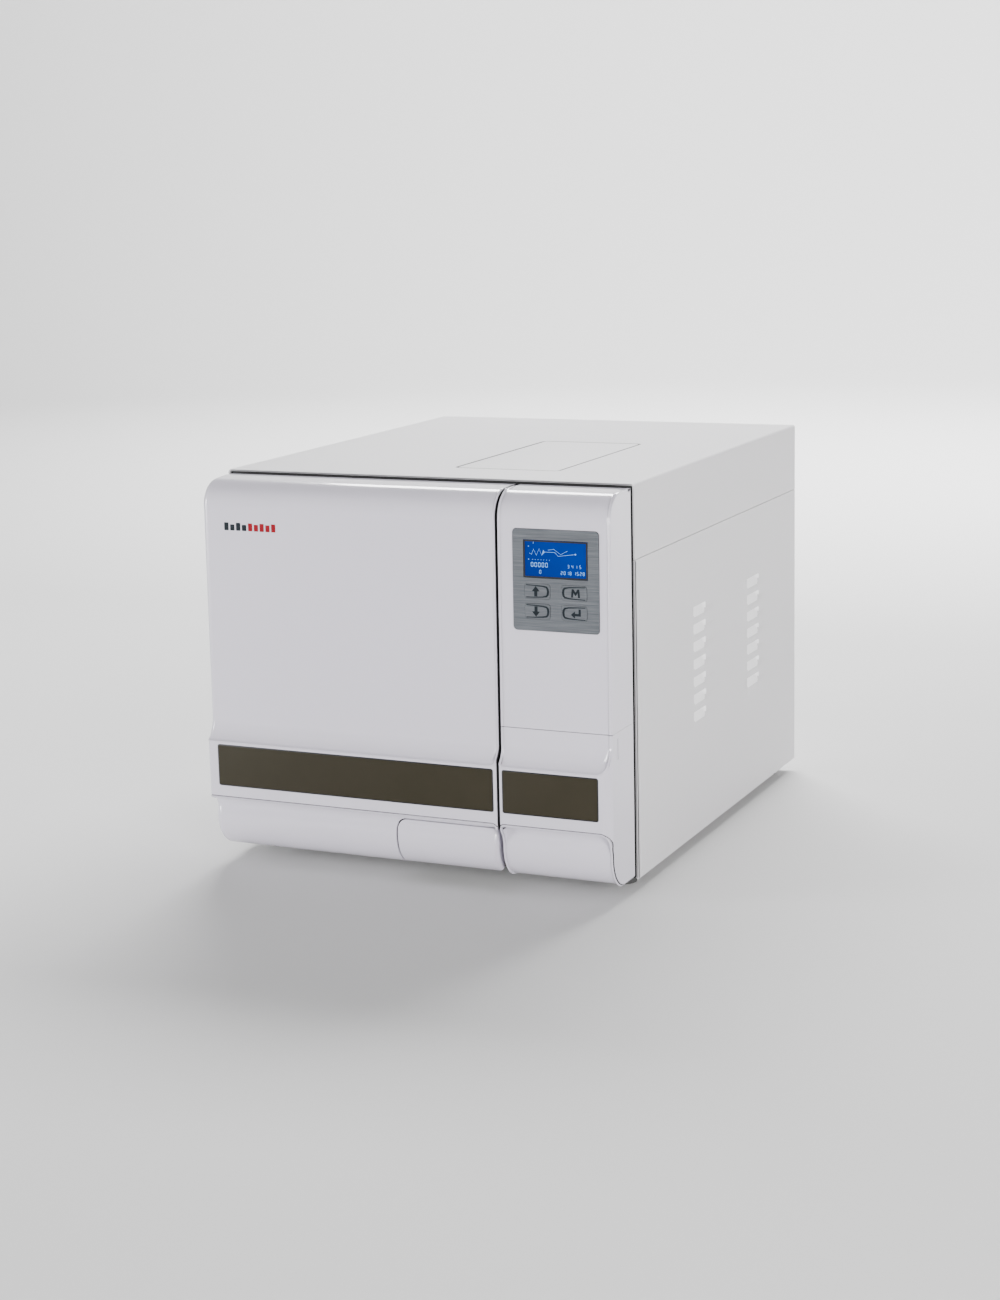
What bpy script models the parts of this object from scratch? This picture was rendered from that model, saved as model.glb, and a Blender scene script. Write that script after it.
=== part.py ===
"""Benchtop steam steriliser: sheet-metal cabinet, round pressure chamber, hinged front door,
service flap, filling hatch and control panel. Metres, +Z up, +Y towards the back, standing on z = 0.
Every piece is placed in the cabinet's own frame: x from its middle, y from its front plane and
z from its lower edge. One empty carries that frame to its place above the feet."""

from math import asin, atan, cos, degrees, pi, radians, sin

import bmesh
import bpy
from mathutils import Matrix, Vector

# ---- driving dimensions ----
WIDTH, DEPTH, HEIGHT = 0.445, 0.508, 0.391  # sheet-metal cabinet, without feet and front mouldings
FOOT_HEIGHT = 0.013
FOOT_RADIUS = 0.015
FRONT_REACH = 0.070  # the mouldings' belt, in front of the cabinet
REAR_REACH = 0.012  # hose outlets, behind the cabinet
SHEET = 0.0015
GAP = 0.0003  # between pieces that touch
PLASTIC = 0.003  # wall of the front mouldings
SIDE_SEAM = 0.3175  # lower edge of the top cover's sides
CHAMBER_X, CHAMBER_Z = -0.060, 0.225
CHAMBER_RADIUS, CHAMBER_DEPTH = 0.1235, 0.350
MOULD_HALF = 0.2212  # half width over the front mouldings
MOULD_BACK = -0.006
DOOR_RIGHT, PANEL_LEFT = 0.1027, 0.1057  # the two edges of the front parting line
FLAP_SEAM = 0.159
STRIP_BOTTOM, STRIP_TOP = 0.075, 0.118
DOOR_STRIP_X = (-0.209, 0.0995)
FLAP_STRIP_X = (0.109, 0.2093)
HANDLE_X, HANDLE_TOP, HANDLE_BACK = (-0.0105, 0.0985), 0.055, -0.044
PLATE_X, PLATE_Z = 0.16515, 0.30425  # middle of the control plate
HINGE_X, HINGE_Y = 0.212, -0.014  # vertical hinge lines, left for the door and right for the flap
DOOR_HINGE_HEIGHTS = {"lower": 0.115, "upper": 0.335}
FLAP_HINGE_HEIGHT = 0.110
HATCH_X, HATCH_Y = (0.004, 0.114), (0.070, 0.297)
FAN_X, FAN_Z = 0.150, 0.315
INLET_X, INLET_Z = 0.170, 0.056
BOLT_Y, BOLT_Z = 0.009, 0.225
PIECES = "benchtop_steriliser"
CUTTERS = "cutters"


# ---- scene, materials and frames ----
def clear_scene():
    for obj in list(bpy.data.objects):
        bpy.data.objects.remove(obj)


def collection(name):
    made = bpy.data.collections.new(name)
    bpy.context.scene.collection.children.link(made)
    return made


def material(name, colour, roughness, metallic=0.0):
    made = bpy.data.materials.new(name)
    made.use_nodes = True
    shader = made.node_tree.nodes["Principled BSDF"]
    shader.inputs["Base Color"].default_value = (*colour, 1.0)
    shader.inputs["Roughness"].default_value = roughness
    shader.inputs["Metallic"].default_value = metallic
    return made


def empty(name, at, parent=None, tilt=0.0):
    made = bpy.data.objects.new(name, None)
    made.location = at
    made.rotation_euler = (tilt, 0, 0)
    made.parent = parent
    pieces.objects.link(made)
    return made


def pivot(name, at):
    """An empty on a joint's axis."""
    return empty(name, at, cabinet_frame)


def add(name, data, finish, at, turn=(0, 0, 0), on=None):
    """A new object, at a place in the cabinet's frame, that moves with the empty `on`."""
    made = bpy.data.objects.new(name, data)
    made.parent = on or cabinet_frame
    shift = on.location if on and on.parent == cabinet_frame and not on.rotation_euler.x else Vector()
    made.location = Vector(at) - shift
    made.rotation_euler = turn
    if finish:
        data.materials.append(finish)
    pieces.objects.link(made)
    return made


# ---- outlines ----
FACING = {  # the rotation that turns a drawing so that its thickness runs along this axis
    "X": (pi / 2, 0, pi / 2),
    "Y": (pi / 2, 0, 0),
    "Z": (0, 0, 0),
}


def arc(centre, radius, start, end, steps, flatten=1.0):
    """Points from angle start to angle end, in degrees; flatten scales the second coordinate."""
    angles = [radians(start + (end - start) * n / steps) for n in range(steps + 1)]
    return [(centre[0] + radius * cos(a), centre[1] + radius * flatten * sin(a)) for a in angles]


def ring(centre, radius, steps=48):
    return arc(centre, radius, 0, 360, steps)[:-1]


def rectangle(low, high, corner=0.0, steps=4):
    if not corner:
        return [low, (high[0], low[1]), high, (low[0], high[1])]
    x0, x1, z0, z1 = low[0] + corner, high[0] - corner, low[1] + corner, high[1] - corner
    corners = [((x1, z0), -90), ((x1, z1), 0), ((x0, z1), 90), ((x0, z0), 180)]
    return [p for centre, start in corners for p in arc(centre, corner, start, start + 90, steps)]


def inset(path, distance):
    """A path moved sideways, to the right of its own direction, with mitred corners."""
    moved = []
    for n, point in enumerate(path):
        before, after = Vector(path[max(n - 1, 0)]), Vector(path[min(n + 1, len(path) - 1)])
        here = Vector(point)
        arrive = (here - before).normalized() if n else (after - here).normalized()
        leave = (after - here).normalized() if n < len(path) - 1 else arrive
        side = (Vector((arrive.y, -arrive.x)) + Vector((leave.y, -leave.x))).normalized()
        stretch = max(side.dot(Vector((leave.y, -leave.x))), 0.3)
        moved.append(tuple(here + side * distance / stretch))
    return moved


def between(outline, low, high, axis=1):
    """The part of a closed outline whose first (0) or second (1) coordinate lies between low and high."""
    for limit, sign in ((low, 1), (high, -1)):
        kept = []
        for a, b in zip(outline, outline[1:] + outline[:1]):
            if (a[axis] - limit) * sign >= 0:
                kept.append(a)
            if (a[axis] - limit) * (b[axis] - limit) < 0:
                share = (limit - a[axis]) / (b[axis] - a[axis])
                kept.append(tuple(Vector(a).lerp(Vector(b), share)))
        outline = kept
    return outline


# ---- solids ----
def plate(name, loops, low, high, facing, finish, on=None):
    """A flat piece: closed loops, the first one its rim and the rest holes, from low to high along an axis."""
    drawing = bpy.data.curves.new(name, "CURVE")
    drawing.dimensions = "2D"
    drawing.fill_mode = "BOTH"
    drawing.extrude = (high - low) / 2
    for loop in loops:
        spline = drawing.splines.new("POLY")
        spline.points.add(len(loop) - 1)
        for point, (u, v) in zip(spline.points, loop):
            point.co = (u, v, 0, 1)
        spline.use_cyclic_u = True
    middle = (low + high) / 2
    at = {"X": (middle, 0, 0), "Y": (0, middle, 0), "Z": (0, 0, middle)}[facing]
    return add(name, drawing, finish, at, FACING[facing], on)


def as_mesh(obj):
    """The same object with a welded mesh in place of its curve."""
    bpy.context.view_layer.update()
    made = bpy.data.meshes.new_from_object(obj.evaluated_get(bpy.context.evaluated_depsgraph_get()))
    bm = bmesh.new()
    bm.from_mesh(made)
    bmesh.ops.remove_doubles(bm, verts=bm.verts, dist=1e-6)
    bmesh.ops.dissolve_limit(bm, angle_limit=radians(0.1), verts=[], edges=bm.edges[:])
    bmesh.ops.recalc_face_normals(bm, faces=bm.faces)
    bm.to_mesh(made)
    bm.free()
    name, curve = obj.name, obj.data
    swapped = bpy.data.objects.new(name, made)
    swapped.parent, swapped.location, swapped.rotation_euler = obj.parent, obj.location, obj.rotation_euler
    bpy.data.objects.remove(obj)
    bpy.data.curves.remove(curve)
    swapped.name = name
    pieces.objects.link(swapped)
    return swapped


def box(name, low, high, finish, on=None, bevel=0.0):
    low, high = Vector(low), Vector(high)
    bm = bmesh.new()
    bmesh.ops.create_cube(bm, size=1.0, matrix=Matrix.Diagonal((*(high - low), 1)))
    if bevel:
        bmesh.ops.bevel(bm, geom=bm.edges[:], offset=bevel, segments=2, profile=0.5, affect="EDGES")
    mesh = bpy.data.meshes.new(name)
    bm.to_mesh(mesh)
    bm.free()
    return add(name, mesh, finish, (low + high) / 2, on=on)


def cylinder(name, radius, start, end, finish, on=None, sides=24):
    """A round bar between two points."""
    start, end = Vector(start), Vector(end)
    bm = bmesh.new()
    bmesh.ops.create_cone(
        bm, cap_ends=True, segments=sides, radius1=radius, radius2=radius, depth=(end - start).length
    )
    mesh = bpy.data.meshes.new(name)
    bm.to_mesh(mesh)
    bm.free()
    turn = (end - start).to_track_quat("Z", "Y").to_euler()
    return add(name, mesh, finish, (start + end) / 2, turn, on)


def turned(name, profile, at, facing, finish, on=None, steps=40, closed=True):
    """A profile of (radius, height) points spun about the facing axis; height runs forwards for Y."""
    area = sum(a[0] * b[1] - b[0] * a[1] for a, b in zip(profile, profile[1:] + profile[:1]))
    if area > 0:
        profile = profile[::-1]
    mesh = bpy.data.meshes.new(name)
    edges = [(n, n + 1) for n in range(len(profile) - 1)]
    if closed:
        edges.append((len(profile) - 1, 0))
    mesh.from_pydata([(r, 0, h) for r, h in profile], edges, [])
    made = add(name, mesh, finish, at, FACING[facing], on)
    screw = made.modifiers.new("Spin", "SCREW")
    screw.steps = screw.render_steps = steps
    screw.use_merge_vertices = True
    screw.merge_threshold = 1e-5
    return made


def boolean(target, tool, operation):
    tool.hide_render = True
    tool.display_type = "WIRE"
    pieces.objects.unlink(tool)
    cutters.objects.link(tool)
    change = target.modifiers.new(tool.name, "BOOLEAN")
    change.operation = operation
    change.object = tool


def cut(target, *tools):
    for tool in tools:
        boolean(target, tool, "DIFFERENCE")
    return target


def join(target, *others):
    for other in others:
        boolean(target, other, "UNION")
    return target


def block(name, low, high, on=None):
    """A cutter or a joined shape, with no finish of its own."""
    return box(name, low, high, None, on)


# ---- front mouldings ----
def front_path():
    """The mouldings' outer surface as (y, z) points, from the top at the back to the bottom at the back."""
    face_top, face_bottom = (-0.0575, 0.3605), (-0.0602, 0.150)
    crown = arc((-0.0315, 0.3605), 0.026, 90, 180, 7)
    flare = arc((-0.0880, 0.1420), 0.0276, 0, -49, 5)
    belt = [(-FRONT_REACH, 0.1195), (-FRONT_REACH, 0.0640), (-0.0680, 0.0615), (-0.0603, 0.0612)]
    sole = arc((-0.0320, 0.0380), 0.0268, 180, 270, 7, flatten=0.033 / 0.0268)
    return [(MOULD_BACK, 0.388), *crown, face_bottom, *flare, *belt, (-0.0598, 0.058), *sole, (MOULD_BACK, 0.0048)]


def face_slope():
    """How far the upper face leans back, as an angle from upright."""
    return atan((0.0602 - 0.0575) / (0.3605 - 0.150))


def face_y(z):
    return -0.0575 - (0.3605 - z) * (0.0602 - 0.0575) / (0.3605 - 0.150)


def moulding(name, x_range, z_range, back, on=None):
    """A hollow front part, open at the back, cut from the common profile between two heights."""
    path = front_path()
    z_low, z_high = z_range
    outer = between(between(path, z_low, z_high), -1, back, axis=0)
    inner_path = inset(path, -PLASTIC)
    inner = [*inner_path, (0.010, inner_path[-1][1]), (0.010, inner_path[0][1])]
    inner = between(inner, max(z_low + PLASTIC, 0), min(z_high - PLASTIC, 1))
    shell = as_mesh(plate(name, [outer], x_range[0], x_range[1], "X", white_plastic, on))
    inside = plate(name + "_inside", [inner], x_range[0] + PLASTIC, x_range[1] - PLASTIC, "X", None, on)
    return cut(shell, as_mesh(inside))


def strip(name, x_range, on):
    low = (x_range[0], -0.0696, STRIP_BOTTOM)
    high = (x_range[1], -0.0683, STRIP_TOP)
    return box(name, low, high, smoked_plastic, on)


def strip_pocket(name, x_range, on):
    low = (x_range[0] - GAP, -0.080, STRIP_BOTTOM - GAP)
    high = (x_range[1] + GAP, -0.0680, STRIP_TOP + GAP)
    return block(name, low, high, on)


# ---- cabinet ----
def make_base():
    half, lip = WIDTH / 2 - SHEET - 0.0005, 0.016
    tray = [(-half, 0), (half, 0), (half, lip), (half - SHEET, lip), (half - SHEET, SHEET)]
    tray += [(-half + SHEET, SHEET), (-half + SHEET, lip), (-half, lip)]
    plate("base_pan", [tray], 0.004, DEPTH - 0.004, "Y", white_metal)
    foot = [(0, -GAP), (FOOT_RADIUS, -GAP), (FOOT_RADIUS * 0.9, -FOOT_HEIGHT), (0, -FOOT_HEIGHT)]
    for side, x in (("left", -0.195), ("right", 0.195)):
        for end, y in (("front", 0.030), ("rear", 0.478)):
            turned(f"foot_{end}_{side}", foot, (x, y, 0), "Z", black_rubber, steps=24, closed=False)


def louvre_slots():
    """The slits of two columns of seven louvres, as (y, z) outlines."""
    slots = []
    for first, last in ((0.1655, 0.1995), (0.3360, 0.3740)):
        for n in range(7):
            top = 0.2415 - 0.01843 * n
            slots.append(rectangle((first + 0.002, top - 0.0045), (last - 0.002, top)))
    return slots


def make_sides():
    half = WIDTH / 2
    side = rectangle((0, 0), (DEPTH, SIDE_SEAM - GAP))
    plate("right_side_panel", [side, *louvre_slots()], half - SHEET, half, "X", white_metal)
    plate("left_side_panel", [side, *louvre_slots()], -half, SHEET - half, "X", white_metal)


def make_top_cover():
    half, bend = WIDTH / 2, 0.003
    outer = [(half, SIDE_SEAM + GAP), *arc((half - bend, HEIGHT - bend), bend, 0, 90, 4)]
    outer += [*arc((bend - half, HEIGHT - bend), bend, 90, 180, 4), (-half, SIDE_SEAM + GAP)]
    inner = [(SHEET - half, SIDE_SEAM + GAP), *arc((bend - half, HEIGHT - bend), bend - SHEET, 180, 90, 3)]
    inner += [*arc((half - bend, HEIGHT - bend), bend - SHEET, 90, 0, 3), (half - SHEET, SIDE_SEAM + GAP)]
    cover = as_mesh(plate("top_cover", [outer + inner], 0, DEPTH, "Y", white_metal))
    slack = 0.0005
    opening = rectangle((HATCH_X[0] - slack, HATCH_Y[0] - slack), (HATCH_X[1] + slack, HATCH_Y[1] + slack), 0.0045)
    cut(cover, as_mesh(plate("hatch_opening", [opening], HEIGHT - 0.005, HEIGHT + 0.005, "Z", None)))
    hinge = pivot("tank_hatch_hinge", (0, HATCH_Y[1], HEIGHT))
    lid = rectangle((HATCH_X[0], HATCH_Y[0]), (HATCH_X[1], HATCH_Y[1]), 0.004)
    plate("tank_hatch", [lid], HEIGHT - SHEET, HEIGHT, "Z", white_metal, hinge)


def make_bulkhead():
    half = WIDTH / 2 - SHEET - 0.0005
    top = HEIGHT - SHEET - GAP
    rim = rectangle((-half, GAP), (half, top), 0.003, 2)
    chamber_hole = ring((CHAMBER_X, CHAMBER_Z), CHAMBER_RADIUS + 0.0048)
    lock_slot = rectangle((0.089, 0.213), (0.0982, 0.237))
    hook_slot = rectangle((0.078, 0.018), (0.0975, 0.038))
    plate("front_bulkhead", [rim, chamber_hole, lock_slot, hook_slot], 0.0020, 0.0035, "Y", bare_steel)
    fan_hole = ring((FAN_X, FAN_Z), 0.043, 32)
    inlet_hole = rectangle((INLET_X - 0.0150, INLET_Z - 0.0125), (INLET_X + 0.0150, INLET_Z + 0.0125))
    vents = [rectangle((-0.19, z), (-0.11, z + 0.004)) for z in (0.26, 0.28, 0.30, 0.32, 0.34)]
    rear = (DEPTH - 0.0035, DEPTH - 0.0020)
    plate("rear_panel", [rim, fan_hole, inlet_hole, *vents], *rear, "Y", white_metal)


# ---- pressure chamber and what it holds ----
def make_chamber():
    centre = (CHAMBER_X, 0, CHAMBER_Z)
    wall, front, back = 0.0025, 0.0097, 0.0097 - CHAMBER_DEPTH
    inside = CHAMBER_RADIUS
    profile = [(0, back), (0.6 * inside, back + 0.002), (0.92 * inside, back + 0.007), (inside, back + 0.018)]
    profile += [(inside, front), (inside + wall, front), (inside + wall, back + 0.017)]
    profile += [(0.92 * inside + wall, back + 0.005), (0.6 * inside, back - 0.001), (0, back - 0.003)]
    turned("chamber_vessel", profile, centre, "Y", polished_steel, closed=False, steps=48)
    hub = inside + wall + 0.0004
    flange = [(hub, -0.0015), (0.1412, -0.0015), (0.1412, 0.008), (0.1397, 0.010), (hub, 0.010)]
    turned("chamber_flange", flange, centre, "Y", polished_steel, steps=48)
    jacket = [(hub + 0.0004, -0.330), (0.148, -0.330), (0.148, -0.012), (hub + 0.0004, -0.012)]
    turned("insulation_jacket", jacket, centre, "Y", grey_fabric)


def rack_side(sign):
    """One folded side of the rack with its three ledges, from the floor up, as (x, z) points."""
    wall, ledge = 0.0850, 0.0080
    points = [(wall - SHEET, -0.0735)]
    for z in (-0.050, -0.005, 0.040):
        points += [(wall - SHEET, z), (wall - ledge, z), (wall - ledge, z + SHEET), (wall - SHEET, z + SHEET)]
    points += [(wall - SHEET, 0.066), (wall, 0.066), (wall, -0.075)]
    return [(CHAMBER_X + sign * x, CHAMBER_Z + z) for x, z in points]


def make_trays():
    rack = rack_side(1) + rack_side(-1)[::-1]
    plate("tray_rack", [rack], 0.005, 0.320, "Y", polished_steel)
    skin, half, height = 0.0012, 0.0830, 0.012
    for name, z in (("tray_lower", -0.0482), ("tray_middle", -0.0032), ("tray_upper", 0.0418)):
        floor = CHAMBER_Z + z
        low, high = (CHAMBER_X - half, 0.010, floor), (CHAMBER_X + half, 0.312, floor + height)
        pan = box(name, low, high, polished_steel)
        inner_low = (low[0] + skin, low[1] + skin, low[2] + skin)
        inner_high = (high[0] - skin, high[1] - skin, high[2] + 0.01)
        cut(pan, block(name + "_hollow", inner_low, inner_high))


# ---- door ----
def hinge_bracket(name, x_side, z_low, z_high):
    """A fixed gooseneck: eye on the hinge line, neck inwards, leg back to the bulkhead and a foot."""
    eye, neck = 0.0055, 0.002
    outline = arc((0, 0), eye, degrees(asin(neck / eye)), 270, 14)
    outline += [(0.020, -eye), (0.020, 0.0130), (0.032, 0.0130), (0.032, 0.0157), (0.013, 0.0157), (0.013, neck)]
    return hinge_part(name, outline, x_side, z_low, z_high, bare_steel, None)


def hinge_leaf(name, x_side, z_low, z_high, reach, on):
    """A moving leaf: eye on the hinge line, web forwards and a foot on the part that swings."""
    eye, left, right = 0.0055, -0.0045, 0.0040
    outline = arc((0, 0), eye, -43.3, 215.1, 12)
    outline += [(left, -reach), (0.030, -reach), (0.030, -reach + 0.0035), (right, -reach + 0.0035)]
    return hinge_part(name, outline, x_side, z_low, z_high, bare_steel, on)


def hinge_part(name, outline, x_side, z_low, z_high, finish, on):
    """An extruded hinge piece with its pin hole; x_side is -1 at the left of the front and 1 at the right."""
    hole = ring((0, 0), 0.0033, 16)
    loops = [[(x_side * (HINGE_X - x), HINGE_Y + y) for x, y in loop] for loop in (outline, hole)]
    return plate(name, loops, z_low, z_high, "Z", finish, on)


def make_door():
    hinge = pivot("door_hinge", (-HINGE_X, HINGE_Y, 0))
    cover = moulding("door_cover", (-MOULD_HALF, DOOR_RIGHT), (0, 1), MOULD_BACK, hinge)
    cut(cover, strip_pocket("door_strip_pocket", DOOR_STRIP_X, hinge))
    opening = ((HANDLE_X[0] - 0.001, -0.09, -0.01), (0.12, 0.01, HANDLE_TOP + 0.001))
    cut(cover, block("handle_opening", *opening, hinge))
    strip("door_strip", DOOR_STRIP_X, hinge)

    centre = (CHAMBER_X, 0, CHAMBER_Z)
    disc = [(0, 0.032), (0.120, 0.032), (0.142, 0.024), (0.142, 0.0166), (0, 0.0166)]
    turned("door_disc", disc, centre, "Y", polished_steel, hinge, 48, closed=False)
    seal = [(0.1275, 0.0103), (0.139, 0.0103), (0.139, 0.0163), (0.1275, 0.0163)]
    turned("door_gasket", seal, centre, "Y", silicone, hinge, 48)

    post = [(-0.2165, 0.085), (-0.150, 0.085), (-0.150, 0.195), (0.060, 0.195), (0.060, 0.020), (0.085, 0.020)]
    post += [(0.085, 0.205), (0.0965, 0.205), (0.0965, 0.250), (-0.150, 0.255), (-0.150, 0.365), (-0.2165, 0.365)]
    yoke = as_mesh(plate("door_yoke", [post], -0.042, -0.0323, "Y", bare_steel, hinge))
    tongue = block("lock_tongue", (0.0905, -0.040, 0.217), (0.0950, 0.014, 0.233), hinge)
    join(yoke, tongue)
    cut(yoke, cylinder("lock_eye", 0.0032, (0.080, BOLT_Y, BOLT_Z), (0.105, BOLT_Y, BOLT_Z), None, hinge))

    liner = rectangle((-0.2075, 0.062), (0.0880, 0.383))
    upper, lower = (0.318, 0.372), (0.098, 0.146)
    notched = list(liner)
    for low, high in (upper, lower):
        notched += [(liner[0][0], high), (-0.186, high), (-0.186, low), (liner[0][0], low)]
    loops = [notched, ring((CHAMBER_X, CHAMBER_Z), 0.144)]
    plate("door_liner", loops, -0.0135, -0.0115, "Y", white_plastic, hinge)

    for which, z in DOOR_HINGE_HEIGHTS.items():
        hinge_bracket(f"hinge_bracket_{which}", -1, z - 0.008, z + 0.008)
        hinge_leaf(f"hinge_leaf_{which}", -1, z + 0.0085, z + 0.0245, 0.0180, hinge)
    pin_line = (-HINGE_X, HINGE_Y)
    cylinder("door_hinge_pin", 0.003, (*pin_line, 0.100), (*pin_line, 0.365), polished_steel, sides=16)


def make_handle():
    handle_pivot = pivot("door_handle_pivot", (HANDLE_X[0], -0.060, 0))
    moulding("door_handle", HANDLE_X, (0, HANDLE_TOP), HANDLE_BACK, handle_pivot)
    hook_pivot = pivot("latch_hook_pivot", (0.070, -0.022, 0))
    hook = arc((0, 0), 0.006, 50, 320, 12)
    hook += [(0.021, -0.004), (0.021, 0.0265), (0.0245, 0.0265), (0.0245, 0.0305), (0.016, 0.0305), (0.016, 0.004)]
    loops = [[(0.070 + x, -0.022 + y) for x, y in loop] for loop in (hook, ring((0, 0), 0.0022, 12))]
    plate("latch_hook", loops, 0.022, 0.034, "Z", bare_steel, hook_pivot)


def make_lock():
    solenoid = box("lock_solenoid", (0.104, 0.0040, 0.212), (0.140, 0.0200, 0.238), dark_plastic)
    bore = cylinder("solenoid_bore", 0.0029, (0.09, BOLT_Y, BOLT_Z), (0.16, BOLT_Y, BOLT_Z), None)
    cut(solenoid, bore)
    slide = pivot("lock_bolt_slide", (0.0970, BOLT_Y, BOLT_Z))
    ends = (0.0970, BOLT_Y, BOLT_Z), (0.150, BOLT_Y, BOLT_Z)
    cylinder("lock_bolt", 0.0025, *ends, polished_steel, slide, sides=16)


# ---- right-hand front: control panel and service flap ----
def make_control_panel():
    panel = moulding("right_upper_panel", (PANEL_LEFT, MOULD_HALF), (FLAP_SEAM + GAP, 1), MOULD_BACK)
    face = empty("control_face", (PLATE_X, face_y(PLATE_Z), PLATE_Z), cabinet_frame, -face_slope())
    half_x, half_z, corner = 0.0441, 0.04875, 0.004
    slack = 0.0004
    recess = rectangle((-half_x - slack, -half_z - slack), (half_x + slack, half_z + slack), corner)
    window = rectangle((-0.0375, -0.0425), (0.0375, 0.0425))
    cut(
        panel,
        as_mesh(plate("plate_recess", [recess], -0.010, 0.0011, "Y", None, face)),
        as_mesh(plate("plate_window", [window], -0.005, 0.010, "Y", None, face)),
    )
    lcd_low, lcd_high = (-0.03275, 0.0023), (0.03275, 0.0383)
    loops = [rectangle((-half_x, -half_z), (half_x, half_z), corner)]
    loops.append(rectangle((lcd_low[0] - GAP, lcd_low[1] - GAP), (lcd_high[0] + GAP, lcd_high[1] + GAP)))
    key_x, key_z = 0.0130, 0.00725
    keys = {
        "key_up": (-0.0188, -0.01075),
        "key_menu": (0.0188, -0.01075),
        "key_down": (-0.0188, -0.02995),
        "key_enter": (0.0188, -0.02995),
    }
    for name, (x, z) in keys.items():
        loops.append(rectangle((x - key_x - GAP, z - key_z - GAP), (x + key_x + GAP, z + key_z + GAP), 0.0033))
        loop = rectangle((x - key_x, z - key_z), (x + key_x, z + key_z), 0.003)
        plate(name, [loop], -0.0011, 0.0020, "Y", brushed_plate, face)
    plate("control_plate", loops, -0.0008, 0.0008, "Y", brushed_plate, face)
    window_loop = rectangle(lcd_low, lcd_high)
    plate("lcd_window", [window_loop], -0.0004, 0.0012, "Y", blue_glass, face)
    plate("control_board", [rectangle((-0.042, -0.046), (0.042, 0.046))], 0.0045, 0.0061, "Y", circuit_green, face)


def make_flap():
    hinge = pivot("service_flap_hinge", (HINGE_X, HINGE_Y, 0))
    flap = moulding("service_flap", (PANEL_LEFT, MOULD_HALF), (0, FLAP_SEAM - GAP), MOULD_BACK, hinge)
    cut(flap, strip_pocket("flap_strip_pocket", FLAP_STRIP_X, hinge))
    strip("flap_strip", FLAP_STRIP_X, hinge)
    z = FLAP_HINGE_HEIGHT
    hinge_bracket("flap_hinge_bracket", 1, z - 0.010, z + 0.010)
    hinge_leaf("flap_hinge_leaf", 1, z + 0.0105, z + 0.0305, 0.0425, hinge)


def make_service_bay():
    """What the flap covers: drain valves, power switch and the chamber's air filter."""
    rocker_hole = rectangle((0.1352, 0.1130), (0.1548, 0.1270))
    bay = [rectangle((0.116, 0.012), (0.174, 0.150), 0.003), rocker_hole]
    plate("service_plate", bay, -0.0035, -0.0005, "Y", dark_plastic)
    off_tilt = radians(7)
    rocker_pivot = empty("power_rocker_pivot", (0.145, -0.002, 0.120), cabinet_frame, off_tilt)
    box("power_rocker", (-0.009, -0.0055, -0.006), (0.009, 0.0025, 0.006), red_plastic, rocker_pivot)
    cylinder("air_filter", 0.020, (0.145, -0.045, 0.085), (0.145, -0.0038, 0.085), white_plastic, sides=32)
    box("drain_valves", (0.118, -0.016, 0.028), (0.172, -0.0038, 0.052), bare_steel, bevel=0.001)
    for name, x, finish in (("knob_clean_drain", 0.131, blue_plastic), ("knob_waste_drain", 0.159, dark_plastic)):
        spindle = pivot(name + "_spindle", (x, -0.016, 0.040))
        grip = arc((x, 0.040), 0.0105, 15, 165, 8) + arc((x, 0.040), 0.0105, 195, 345, 8)
        plate(name, [grip], -0.032, -0.0163, "Y", finish, spindle)


# ---- inside and at the back ----
def make_water_side():
    outer = [(0.008, 0.364), (0.100, 0.364), (0.100, 0.235), (0.216, 0.235), (0.216, 0.389), (0.008, 0.389)]
    wall = 0.002
    inner = [(0.010, 0.366), (0.102, 0.366), (0.102, 0.237), (0.214, 0.237), (0.214, 0.387), (0.010, 0.387)]
    tank = as_mesh(plate("water_tank", [outer], 0.060, 0.310, "Y", natural_plastic))
    hollow = as_mesh(plate("tank_hollow", [inner], 0.060 + wall, 0.310 - wall, "Y", None))
    cut(tank, hollow, block("tank_mouth", (0.012, 0.078, 0.380), (0.108, 0.289, 0.400)))

    box("vacuum_pump", (0.110, 0.330, 0.0020), (0.205, 0.400, 0.110), dark_plastic, bevel=0.006)
    cylinder("pump_motor", 0.034, (0.157, 0.4003, 0.055), (0.157, 0.480, 0.055), bare_steel)
    cylinder("steam_generator", 0.034, (0.155, 0.365, 0.140), (0.155, 0.365, 0.262), bare_steel)
    box("condenser", (0.104, 0.420, 0.265), (0.200, 0.465, 0.366), bare_steel, bevel=0.002)


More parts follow.
